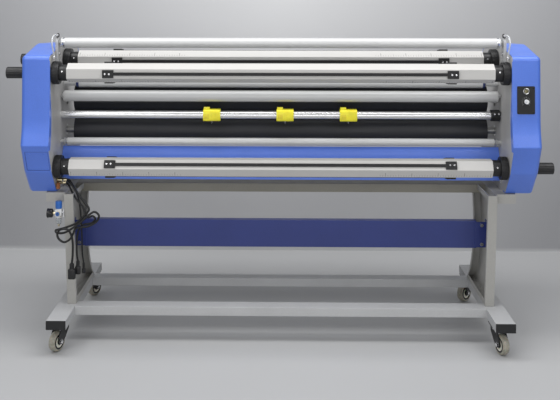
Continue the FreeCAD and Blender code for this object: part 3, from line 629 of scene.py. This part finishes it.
def cutter(name):
    """Yellow blade holder: grooved body, clamp ear and tab, clamp plate with two screws, and blade."""
    low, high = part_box(name)
    place = at((low.x + high.x) / 2, BAR_Y, BAR_Z)
    body = holder_body(place)
    for k in range(6):
        body.block((0.0026, 0.0020, 0.034), place @ at(0.002 + k * 0.0052, -0.0266, 0.0), 0.0007)
    body.block((0.024, 0.020, 0.010), place @ at(-HOLDER_HALF + 0.014, -0.006, 0.0265), 0.0022)
    body.block((0.018, 0.003, 0.009), place @ at(-HOLDER_HALF + 0.014, -0.0165, 0.0275), 0.001)
    piece = body.piece(name + "_holder", "cutter_yellow", name, slot="cutter_yellow")
    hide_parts(name)
    trim = Mesh()
    trim.block((0.020, 0.002, 0.020), place @ at(-HOLDER_HALF + 0.015, -0.0262, -0.004), 0.0008)
    for x in (-0.022, -0.014):
        socket_screw(trim, facing(TO_VIEWER, place @ Vector((x, -0.0272, -0.004))), 0.0026, 0.0018)
    trim.piece(name + "_clamp_plate", "cutter_shade", name, slot="cutter_yellow")
    steel = Mesh()
    steel.block((0.0012, 0.022, 0.014), place @ at(0.0, 0.0, -0.0265), 0.0003)
    steel.piece(name + "_blade", "screw_steel", name, slot="bolt_steel")


for cutter_name in ("left_cutter", "centre_cutter", "right_cutter"):
    cutter(cutter_name)


def bar_clamp():
    """Black split clamp at the right end of the slitter bar."""
    clamp = Mesh()
    place = facing((1.0, 0.0, 0.0), (0.831, BAR_Y, BAR_Z))
    clamp.lathe([(0.0162, 0.0), (0.0205, 0.0), (0.0225, 0.002), (0.0225, 0.034), (0.0205, 0.036),
                 (0.0162, 0.036)], place, 40)
    clamp.block((0.034, 0.016, 0.016), at(0.849, BAR_Y - 0.022, BAR_Z + 0.010), 0.002)
    clamp.piece("slitter_bar_clamp", "black_plastic", slot="knob_black")
    screws = Mesh()
    for x in (0.841, 0.857):
        socket_screw(screws, facing(TO_VIEWER, (x, BAR_Y - 0.030, BAR_Z + 0.010)), 0.0035, 0.003)
    screws.piece("slitter_bar_screws", "screw_steel", slot="bolt_steel")


bar_clamp()


# ---------------------------------------------------------------- control plates
REAR_KNOB_UP = -0.005       # places along the rear plate, from its middle
SOCKET_UP = 0.034
DIAL_UP = -0.040            # places along the operator's panel, from its middle
STOP_UP = 0.046
DISPLAY_UP = 0.004
KEYS_UP = -0.062


def plate_frame(joint, up):
    """Frame of a tilted control plate: x across, y up the plate, z outwards, from its middle."""
    source = JOINT[joint]
    return facing(source["axis"], source["pos_m"]) @ at(0.0, -up, 0.0)


def corner_screws(mesh, place, half_wide, half_tall, height):
    for x in (-half_wide, half_wide):
        for y in (-half_tall, half_tall):
            socket_screw(mesh, place @ at(x, y, height), 0.0028, 0.0016)


def dial_marks(mesh, place, inner, count, height):
    """Ticks on the arc that a knob can point to, longer at its ends and middle."""
    for k in range(count):
        turn = spun(math.radians(225 - 270 * k / (count - 1)))
        length = 0.0036 if k in (0, count // 2, count - 1) else 0.0022
        tick = turn @ at(inner + length / 2, 0.0, height)
        mesh.block((length, 0.0007, 0.0002), place @ tick)


def rear_plate():
    """Cable socket, dial arc, screws and knob grip of the small plate on the output side."""
    place = plate_frame("rear_knob_turn", REAR_KNOB_UP)
    socket = place @ at(0.0, SOCKET_UP, 0.0)
    ring = Mesh()
    ring.lathe([(0.0078, 0.0027), (0.0119, 0.0027), (0.0119, 0.0062), (0.0112, 0.0078), (0.0098, 0.0083),
                (0.0090, 0.0074), (0.0078, 0.0072)], socket, 40)
    ring.piece("rear_socket_ring", "screw_steel", slot="bolt_steel")
    screws = Mesh()
    corner_screws(screws, place, 0.0275, 0.0465, 0.0026)
    screws.piece("rear_plate_screws", "black_gloss", slot="bolt_steel")
    insert = Mesh()
    insert.lathe([(0.0, 0.0012), (0.0077, 0.0012), (0.0077, 0.0046), (0.0070, 0.0050), (0.0, 0.0050)],
                 socket, 32)
    insert.block((0.0030, 0.0016, 0.0030), socket @ at(0.0, 0.0062, 0.0058), 0.0004)
    insert.piece("rear_socket_insert", "socket_olive", slot="knob_pale")
    pins = Mesh()
    for k in range(4):
        turn = spun(math.radians(45 + 90 * k))
        pins.lathe([(0.0, 0.0049), (0.0011, 0.0049), (0.0011, 0.0062), (0.0, 0.0067)],
                   socket @ turn @ at(0.0040, 0.0, 0.0), 12)
    pins.piece("rear_socket_pins", "plated_brass", slot="fitting_metal")
    marks = Mesh()
    knob = place @ at(0.0, REAR_KNOB_UP, 0.0)
    dial_marks(marks, knob, 0.0142, 11, 0.0027)
    marks.piece("rear_dial_marks", "print_white")
    grip = Mesh()
    ring_of_ribs(grip, knob, 0.0079, 22, (0.0062, 0.0160), (0.0010, 0.0012))
    grip.piece("rear_knob_ribs", "pale_plastic", "rear_knob", slot="knob_pale")
    pointer = Mesh()
    pointer.block((0.0056, 0.0010, 0.0004), knob @ at(-0.0030, 0.0, 0.0176))
    pointer.piece("rear_knob_pointer", "print_black", "rear_knob")


SEGMENTS = {                # bar of a seven bar figure: (x, y, upright)
    "a": (0.0, 1.0, False), "b": (0.5, 0.5, True), "c": (0.5, -0.5, True), "d": (0.0, -1.0, False),
    "e": (-0.5, -0.5, True), "f": (-0.5, 0.5, True), "g": (0.0, 0.0, False),
}


def front_plate():
    """Screws, stop ring, display, keys, dial arc and grip ribs of the operator's panel."""
    place = plate_frame("speed_dial_turn", DIAL_UP)
    steel = Mesh()
    corner_screws(steel, place, 0.0315, 0.0760, 0.0041)
    steel.piece("panel_screws", "screw_steel", slot="bolt_steel")
    ring = Mesh()
    ring.lathe([(0.0172, 0.0041), (0.0225, 0.0041), (0.0225, 0.0050), (0.0215, 0.0056),
                (0.0172, 0.0056)], place @ at(0.0, STOP_UP, 0.0), 48)
    ring.piece("stop_button_ring", "cutter_yellow", slot="cutter_yellow")
    glass = Mesh()
    glass.block((0.042, 0.016, 0.0010), place @ at(0.0, DISPLAY_UP, 0.0062), 0.0004)
    glass.piece("display_window", "display_glass", slot="panel_black")
    figures = Mesh()
    for column, bars in enumerate(("abcdef", "abged", "abcdef")):
        for bar in bars:
            x, y, upright = SEGMENTS[bar]
            size = (0.0008, 0.0042, 0.0002) if upright else (0.0042, 0.0008, 0.0002)
            spot = ((column - 1) * 0.0110 + x * 0.0052, DISPLAY_UP + y * 0.0050, 0.0068)
            figures.block(size, place @ Matrix.Translation(spot))
    figures.piece("display_figures", "lamp_green")
    for side, colour in ((LEFT, "lamp_green"), (RIGHT, "stop_red")):
        cap = Mesh()
        spot = place @ at(side * 0.018, KEYS_UP, 0.0)
        cap.lathe([(0.0, 0.0068), (0.0062, 0.0068), (0.0062, 0.0082),
                   *dome(0.0058, 0.0010, 0.0082)], spot, 28)
        cap.piece("start_key" if side == LEFT else "stop_key", colour)
    marks = Mesh()
    dial = place @ at(0.0, DIAL_UP, 0.0)
    dial_marks(marks, dial, 0.0182, 11, 0.0042)
    marks.piece("speed_dial_marks", "print_white")
    grip = Mesh()
    ring_of_ribs(grip, dial, 0.0129, 30, (0.0068, 0.0186), (0.0012, 0.0014))
    grip.piece("speed_dial_ribs", "black_plastic", "speed_dial", slot="knob_black")
    head = Mesh()
    ring_of_ribs(head, place @ at(0.0, STOP_UP, 0.0), 0.0189, 20, (0.0150, 0.0200), (0.0010, 0.0026))
    head.piece("stop_button_ribs", "stop_red", "stop_button", slot="stop_red")


def hatch():
    """Dark blue seam around the lid in the left cover, and the lid's two quarter turn locks."""
    lid = frame["nodes"]["cover_hatch"].data
    outer = [polygon for polygon in lid.polygons if polygon.normal.y < -0.5]
    face = max(outer, key=lambda polygon: polygon.area)
    on_face = lid.vertices[face.vertices[0]].co
    flat = [vertex.co for vertex in lid.vertices if abs((vertex.co - on_face).dot(face.normal)) < 1e-5]
    lowest = Vector([min(point[k] for point in flat) for k in range(3)])
    highest = Vector([max(point[k] for point in flat) for k in range(3)])
    place = facing(face.normal, (lowest + highest) / 2)
    low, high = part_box("cover_hatch")
    half = (high.x - low.x) / 2
    seal = Mesh()
    for side in (LEFT, RIGHT):
        seal.block((0.0014, 2 * half + 0.0030, 0.0022), place @ at(side * (half + 0.0008), 0.0, 0.0))
        seal.block((2 * half + 0.0030, 0.0014, 0.0022), place @ at(0.0, side * (half + 0.0008), 0.0))
    seal.piece("hatch_seal", "seam_dark", slot="panel_black")
    locks = Mesh()
    for side in (LEFT, RIGHT):
        spot = place @ at(side * 0.028, 0.030, 0.0)
        locks.lathe([(0.0, -0.0005), (0.0052, -0.0005), (0.0052, 0.0008), (0.0044, 0.0014),
                     (0.0, 0.0014)], spot, 28)
        locks.block((0.0064, 0.0012, 0.0008), spot @ at(0.0, 0.0, 0.0015))
    locks.piece("hatch_locks", "cover_blue", slot="cover_blue")


rear_plate()
front_plate()
hatch()


# ---------------------------------------------------------------- compressed air and power
def regulator():
    """Air regulator on the left leg: cast body, badge, bowl, ports, gauge, bracket and knob ribs."""
    low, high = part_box("filter_regulator")
    knob_low, knob_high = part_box("regulator_knob")
    x, y = ((knob_low + knob_high) / 2).xy
    port_z = low.z + 0.053
    gauge_z = low.z + 0.051
    body = Mesh()
    body.block((0.026, 0.026, 0.026), at(x, y, port_z), 0.0035)
    body.lathe([(0.0045, 0.0125), (0.0122, 0.0125), (0.0122, 0.0152), (0.0112, 0.0160),
                (0.0045, 0.0160)], at(x, y, port_z), 32)
    body.lathe(rod(0.0125, -0.0180, -0.0125),
               at(x, y, port_z), 8, phase=0.5)
    made = body.piece("regulator_body", "cast_silver", slot="fitting_metal")
    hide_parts("filter_regulator")
    badge = Mesh()
    badge.lathe([(0.0, 0.0), (0.0078, 0.0), (0.0078, 0.0008), *dome(0.0074, 0.0007, 0.0008)],
                facing(TO_VIEWER, (x - 0.002, y - 0.0128, port_z - 0.003)), 28)
    badge.piece("regulator_badge", "knob_blue", slot="knob_blue")
    bowl = Mesh()
    bowl.lathe([(0.0040, 0.0), (0.0078, 0.0016), (0.0102, 0.0055), (0.0110, 0.011), (0.0110, 0.0270),
                (0.0100, 0.0270), (0.0100, 0.011), (0.0092, 0.0062), (0.0070, 0.0028),
                (0.0040, 0.0014)], at(x, y, low.z + 0.0085), 36)
    bowl.piece("regulator_bowl", "bowl_clear")
    brass = Mesh()
    brass.lathe([(0.0, 0.0), (0.0034, 0.0), (0.0034, 0.0070), (0.0055, 0.0075), (0.0055, 0.0100),
                 (0.0, 0.0100)], at(x, y, low.z), 6)
    brass.lathe(rod(0.0052, 0.0, 0.0095),
                facing((-1.0, 0.0, 0.0), (x - 0.0130, y, gauge_z)), 6)
    front = facing(TO_VIEWER, (x, y - 0.0130, port_z))
    brass.lathe([(0.0042, 0.0), (0.0078, 0.0), (0.0078, 0.0065), (0.0070, 0.0075), (0.0042, 0.0075)],
                front, 6)
    brass.lathe(rod(0.0060, 0.0, 0.0080),
                facing((1.0, 0.0, -0.6), (x + 0.004, y - 0.004, port_z - 0.010)), 6)
    brass.piece("regulator_ports", "plated_brass", slot="fitting_metal")
    collet = Mesh()
    collet.lathe([(0.0041, 0.0070), (0.0064, 0.0070), (0.0064, 0.0090), (0.0056, 0.0095), (0.0056, 0.0110),
                  (0.0062, 0.0118), (0.0041, 0.0118)], front, 28)
    collet.piece("air_inlet_collet", "knob_blue", slot="knob_blue")
    gauge = Mesh()
    side = facing((-1.0, 0.0, 0.0), (x - 0.0220, y, gauge_z))
    gauge.lathe([(0.0, 0.0), (0.0120, 0.0), (0.0160, 0.0020), (0.0172, 0.0045), (0.0172, 0.0160),
                 (0.0180, 0.0170), (0.0180, 0.0215), (0.0172, 0.0220), (0.0158, 0.0205),
                 (0.0158, 0.0190), (0.0, 0.0190)], side, 44)
    gauge.piece("pressure_gauge", "black_gloss", slot="knob_black")
    dial = Mesh()
    dial.lathe(rod(0.0157, 0.0189, 0.0194), side, 40)
    dial.piece("pressure_gauge_dial", "print_white")
    marks = Mesh()
    dial_marks(marks, side, 0.0105, 13, 0.0196)
    needle = side @ spun(math.radians(150)) @ at(0.0045, 0.0, 0.0198)
    marks.block((0.0130, 0.0007, 0.0003), needle)
    marks.piece("pressure_gauge_marks", "print_black")
    bracket = Mesh()
    reach = high.x - (x + 0.0125)
    bracket.block((reach, 0.018, 0.0040), at(high.x - reach / 2, y, port_z + 0.003), 0.0008)
    bracket.block((0.0030, 0.024, 0.030), at(high.x - 0.0015, y + 0.003, port_z), 0.0008)
    bracket.piece("regulator_bracket", "cast_silver", slot="fitting_metal")
    ribs = Mesh()
    base = at(x, y, knob_high.z - 0.027)
    ring_of_ribs(ribs, base, 0.0119, 22, (0.0030, 0.0235), (0.0012, 0.0016))
    ribs.piece("regulator_knob_ribs", "knob_blue", "regulator_knob", slot="knob_blue")


def air_hose(side, name):
    """Milky hose that loops from the side plate up to the top idler's arm, with its fittings."""
    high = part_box("air_hoses")[1]
    axis_y, axis_z = JOINT["top_idler_spin"]["pos_m"][1:]
    wall = high.x
    spots = [(0.0080, -0.073, -0.0460), (0.0065, -0.085, -0.0200), (0.0045, -0.093, 0.0060),
             (0.0045, -0.079, 0.0270), (0.0050, -0.049, 0.0330), (0.0050, -0.020, 0.0300)]
    points = [(side * (wall - inset), axis_y + dy, axis_z + dz) for inset, dy, dz in spots]
    hose = cable(name, points, 0.003, "hose_white")
    elbow = Mesh()
    inset, dy, dz = spots[0]
    foot = (side * (wall - inset), axis_y + dy, axis_z - 0.0520)
    elbow.lathe([(0.0, -0.0058), (0.0048, -0.0052), (0.0055, 0.0), (0.0055, 0.0040), (0.0048, 0.0052),
                 (0.0034, 0.0060), (0.0, 0.0060)], Matrix.Translation(foot), 24)
    elbow.lathe(rod(0.0052, 0.0, 0.0060), facing((side, 0.0, 0.0), foot), 6)
    tip = Vector(points[-1])
    elbow.lathe([(0.0, -0.0010), (0.0047, -0.0010), (0.0050, 0.0010), (0.0050, 0.0110), (0.0, 0.0110)],
                facing((0.0, 1.0, 0.0), tip), 24)
    elbow.piece(name + "_fittings", "screw_steel", slot="fitting_metal")
    saddle = Mesh()
    saddle.block((0.0090, 0.0240, 0.0125), at(tip.x, axis_y, high.z - 0.0095), 0.0015)
    socket_screw(saddle, at(tip.x, axis_y + 0.003, high.z - 0.0034), 0.0040, 0.0028)
    saddle.piece(name + "_saddle", "black_plastic", slot="knob_black")
    return hose


def air_hoses():
    left = air_hose(LEFT, "left_air_hose")
    air_hose(RIGHT, "right_air_hose")
    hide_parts("air_hoses")


MAINS_RUN = [               # steps of the mains cable from its gland: (inwards, towards the viewer, down)
    (0.040, 0.010, 0.012), (0.054, 0.016, 0.020), (0.072, 0.028, 0.038), (0.098, 0.044, 0.066),
    (0.124, 0.056, 0.094), (0.138, 0.061, 0.112), (0.131, 0.064, 0.128), (0.090, 0.068, 0.166),
    (0.038, 0.070, 0.186), (0.014, 0.071, 0.192), (0.020, 0.076, 0.201), (0.052, 0.079, 0.198),
    (0.102, 0.077, 0.166), (0.142, 0.073, 0.132), (0.162, 0.070, 0.122), (0.178, 0.068, 0.137),
    (0.168, 0.066, 0.160), (0.136, 0.067, 0.178), (0.092, 0.069, 0.184), (0.080, 0.073, 0.206),
    (0.068, 0.076, 0.226), (0.046, 0.077, 0.236), (0.026, 0.076, 0.224), (0.020, 0.074, 0.205),
    (0.036, 0.083, 0.186), (0.064, 0.084, 0.188), (0.078, 0.076, 0.226), (0.077, 0.066, 0.285),
    (0.073, 0.063, 0.322),
]
CONTROL_RUN = [             # steps of the control cable from the same gland
    (0.034, -0.004, 0.026), (0.046, 0.002, 0.034), (0.062, 0.018, 0.054), (0.086, 0.040, 0.082),
    (0.112, 0.052, 0.106), (0.122, 0.057, 0.130), (0.134, 0.060, 0.146), (0.152, 0.060, 0.140),
    (0.162, 0.058, 0.152), (0.148, 0.057, 0.168), (0.110, 0.058, 0.178), (0.092, 0.055, 0.218),
    (0.089, 0.048, 0.285), (0.092, 0.043, 0.318),
]
SIGNAL_RUN = [              # steps of the thin signal cable, led along the leg's inner side
    (0.030, -0.016, 0.016), (0.048, -0.012, 0.020), (0.076, 0.004, 0.060), (0.092, 0.010, 0.110),
    (0.098, 0.012, 0.170), (0.100, 0.008, 0.240), (0.100, 0.000, 0.300), (0.104, -0.006, 0.340),
]


def plug(mesh, end, size):
    """Moulded plug of a given width hanging below the end of its cable."""
    place = Matrix.Translation(end)
    neck = size * 0.3
    mesh.lathe([(0.0, 0.0020), (neck * 0.75, 0.0020), (neck * 0.9, -0.0080), (neck, -0.0220),
                (0.0, -0.0220)], place, 20)
    mesh.block((size, size * 0.7, size * 1.4), place @ at(0.0, 0.0, -0.020 - size * 0.7), 0.0045)
    for k in range(4):
        ring = place @ at(0.0, 0.0, -0.003 - 0.0045 * k)
        mesh.lathe(rod(neck * 1.08, -0.0010, 0.0010), ring, 20)


def power_cables():
    """Black cables that leave a gland, hang in loops at the left leg and end in plugs."""
    low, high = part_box("power_cables")
    gland = Vector((low.x, high.y - 0.013, high.z - 0.013))
    ends = Mesh()
    made = None
    runs = (("mains_cable", MAINS_RUN, 0.0042, 0.028), ("control_cable", CONTROL_RUN, 0.0038, 0.022),
            ("signal_cable", SIGNAL_RUN, 0.0030, 0.015))
    for name, run, radius, plug_size in runs:
        points = [gland + Vector((inwards, -near, -down)) for inwards, near, down in run]
        made = cable(name, points, radius, "cable_black")
        plug(ends, points[-1], plug_size)
    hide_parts("power_cables")
    ends.piece("cable_plugs", "black_plastic", slot="cable_black")
    nut = Mesh()
    for run, radius in ((MAINS_RUN, 0.0095), (CONTROL_RUN, 0.0085), (SIGNAL_RUN, 0.0070)):
        reach, near, down = run[0]
        spot = facing((1.0, 0.0, 0.0), gland + Vector((0.0, -near, -down)))
        nut.lathe([(0.0, 0.0), (radius, 0.0), (radius, 0.0070), (radius * 0.86, 0.0080),
                   (0.0, 0.0080)], spot, 6)
        nut.lathe([(0.0, 0.0080), (radius * 0.78, 0.0080), (radius * 0.78, reach - 0.004),
                   (radius * 0.60, reach + 0.002), (0.0, reach + 0.002)], spot, 24)
        nut.lathe(rod(radius * 0.95, reach - 0.016, reach - 0.009), spot, 6)
    nut.piece("cable_glands", "plated_brass", slot="fitting_metal")
    breaker = Mesh()
    spot = Matrix.Translation(gland + Vector((0.010, -0.018, -0.034)))
    breaker.block((0.013, 0.012, 0.024), spot, 0.0020)
    breaker.block((0.0080, 0.0040, 0.0100), spot @ at(0.0, -0.0090, 0.002), 0.0010)
    breaker.piece("mains_breaker", "orange_plastic", slot="cable_black")


regulator()
air_hoses()
power_cables()


# ---------------------------------------------------------------- casters
def caster_wheel(corner):
    """Tread, black rim, cream dish and hub of a caster wheel."""
    joint = JOINT[corner + "_wheel_spin"]
    place = facing(joint["axis"], joint["pos_m"])
    body = corner + "_wheel"
    bore = 0.00505
    tread = Mesh()
    tread.lathe([(0.027, -0.0125), (0.0315, -0.0135), (0.0348, -0.0122), (0.0368, -0.0085), (0.0375, -0.003),
                 (0.0375, 0.003), (0.0368, 0.0085), (0.0348, 0.0122), (0.0315, 0.0135),
                 (0.027, 0.0125)], place, 56)
    tyre = tread.piece(corner + "_wheel_tread", "caster_tyre", body, slot="caster_tyre")
    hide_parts(corner + "_caster_wheel")
    rim = Mesh()
    rim.lathe([(0.0222, -0.0130), (0.0285, -0.0138), (0.0285, 0.0138), (0.0222, 0.0130)], place, 48)
    rim.lathe([(bore, -0.0142), (0.0095, -0.0142), (0.0112, -0.0128), (0.0118, -0.008), (0.0118, 0.008),
               (0.0112, 0.0128), (0.0095, 0.0142), (bore, 0.0142)], place, 36)
    rim.piece(corner + "_wheel_rim", "black_gloss", body, slot="caster_black")
    dish = Mesh()
    dish.lathe([(0.0105, -0.0112), (0.0165, -0.0106), (0.0200, -0.0114), (0.0222, -0.0126), (0.0222, 0.0126),
                (0.0200, 0.0114), (0.0165, 0.0106), (0.0105, 0.0112)], place, 48)
    dish.piece(corner + "_wheel_dish", "cream_plastic", body, slot="caster_tyre")


def caster_nuts(corner):
    """Bright axle nuts and bearing ring of a caster fork."""
    joint = JOINT[corner + "_wheel_spin"]
    nuts = Mesh()
    for side in (LEFT, RIGHT):
        axis = Vector(joint["axis"]) * side
        place = facing(axis, Vector(joint["pos_m"]) + axis * 0.0188)
        nuts.lathe(rod(0.0098, 0.0, 0.0014), place, 28)
        nuts.lathe([(0.0, 0.0014), (0.0084, 0.0014), (0.0084, 0.0056), (0.0074, 0.0066),
                    (0.0, 0.0066)], place, 6)
        nuts.lathe([(0.0048, 0.0066), *dome(0.0048, 0.0024, 0.0066)], place, 20)
    swivel = JOINT[corner + "_swivel"]["pos_m"]
    nuts.lathe([(0.0215, 0.0862), (0.0232, 0.0872), (0.0232, 0.0918), (0.0215, 0.0930), (0.0208, 0.0930),
                (0.0208, 0.0862)], at(swivel[0], swivel[1], 0.0), 40)
    nuts.piece(corner + "_caster_nuts", "screw_steel", corner + "_fork", slot="bolt_steel")


for corner in CORNERS:
    caster_wheel(corner)
    caster_nuts(corner)


# ---------------------------------------------------------------- studio
WALL_Y = 1.02
FAR = 30.0                  # how far the floor reaches


def backdrop():
    """Material of the floor and the wall: a painted pool of light makes the wall paler behind the machine's
    top; see-through from behind.
    """
    surface = Surface()
    surface.material.name = "studio"
    # painted light: the wall is paler near a spot behind the machine's top and darker away from it
    distance = surface.node("VectorMath")
    distance.operation = "DISTANCE"
    surface.put(surface.stretched((0.9, 0.0, 0.6)), distance.inputs[0])
    surface.put((0.0, 0.0, 0.87), distance.inputs[1])
    painted_light_falloff = surface.spread(distance.outputs["Value"], 0.0, 1.0, 0.1, 1.5)
    wall = surface.mixed(painted_light_falloff, (0.64, 0.645, 0.655), (0.31, 0.313, 0.325))
    floor = surface.shaded(surface.noise(0.7), 1.0, (0.455, 0.46, 0.465), (0.48, 0.485, 0.49))
    level = surface.node("SeparateXYZ")
    surface.put(surface.place, level.inputs[0])
    upright = surface.spread(level.outputs["Z"], 0.0, 1.0, 0.0, 0.02)
    surface.set({"Base Color": surface.mixed(upright, floor, wall), "Roughness": 0.6})
    switch = surface.node("MixShader")
    surface.put(surface.node("NewGeometry").outputs["Backfacing"], switch.inputs[0])
    surface.put(surface.shader.outputs["BSDF"], switch.inputs[1])
    surface.put(surface.node("BsdfTransparent").outputs["BSDF"], switch.inputs[2])
    surface.put(switch.outputs["Shader"], surface.tree.nodes["Material Output"].inputs["Surface"])
    return surface.material


def studio():
    """Floor and wall with a strip of floor behind the wall."""
    bm = bmesh.new()
    section = [(-FAR, 0.0), (WALL_Y, 0.0), (WALL_Y, 9.0)]
    rows = [[bm.verts.new((x, y, z)) for y, z in section] for x in (-FAR, FAR)]
    for k in range(len(section) - 1):
        bm.faces.new((rows[0][k], rows[1][k], rows[1][k + 1], rows[0][k + 1]))
    back = ((-FAR, WALL_Y), (FAR, WALL_Y), (FAR, FAR), (-FAR, FAR))
    bm.faces.new([bm.verts.new((x, y, 0.0)) for x, y in back])
    data = bpy.data.meshes.new("studio")
    bm.to_mesh(data)
    bm.free()
    data.materials.append(backdrop())
    new_object("studio", data)


def area_light(name, place, target, size, power):
    lamp = bpy.data.lights.new(name, "AREA")
    lamp.shape = "RECTANGLE"
    lamp.size, lamp.size_y = size
    lamp.energy = power
    made = new_object(name, lamp)
    made.location = place
    made.rotation_euler = (Vector(target) - Vector(place)).to_track_quat("-Z", "Y").to_euler()
    made.visible_camera = False


def lighting():
    world = bpy.data.worlds.new("studio")
    bpy.context.scene.world = world
    world.use_nodes = True
    sky = world.node_tree.nodes["Background"]
    sky.inputs["Color"].default_value = (0.82, 0.82, 0.84, 1.0)
    sky.inputs["Strength"].default_value = 0.30
    area_light("overhead", (0.0, -0.7, 3.4), (0.0, -0.1, 0.6), (4.8, 1.3), 100.0)
    area_light("key", (-2.4, -3.4, 3.1), (0.0, 0.0, 0.8), (2.4, 1.6), 42.0)
    area_light("fill", (2.6, -3.4, 2.7), (0.0, 0.0, 0.7), (2.4, 1.6), 36.0)
    area_light("front_low", (0.0, -4.4, 1.0), (0.0, 0.0, 0.8), (3.6, 1.4), 30.0)
    area_light("operator_side", (0.5, 4.0, 2.6), (0.0, 0.0, 0.8), (3.5, 2.0), 60.0)


VIEWPOINT = (0.0, -3.769, 1.4195)


def photo_camera():
    """Level camera with its picture shifted down; the shift is only on while it stands at the viewpoint."""
    data = bpy.data.cameras.new("camera")
    camera = new_object("camera", data)
    camera.location = VIEWPOINT
    camera.rotation_euler = (math.radians(90.0), math.radians(-0.034), math.radians(0.99))
    data.lens = 59.43
    data.sensor_width = 36.0
    data.clip_start = 0.05
    data.clip_end = 100.0
    for path, value in (("shift_x", 0.0284), ("shift_y", -0.3998)):
        driver = data.driver_add(path).driver
        driver.type = "SCRIPTED"
        for axis in ("X", "Y", "Z"):
            source = driver.variables.new()
            source.name = axis.lower()
            source.type = "TRANSFORMS"
            source.targets[0].id = camera
            source.targets[0].transform_type = "LOC_" + axis
            source.targets[0].transform_space = "WORLD_SPACE"
        x, y, z = VIEWPOINT
        driver.expression = f"{value} * (abs(x - {x}) + abs(y - {y}) + abs(z - {z}) < 0.01)"
    bpy.context.scene.camera = camera


studio()
lighting()
photo_camera()
bpy.context.scene.view_settings.view_transform = "Standard"
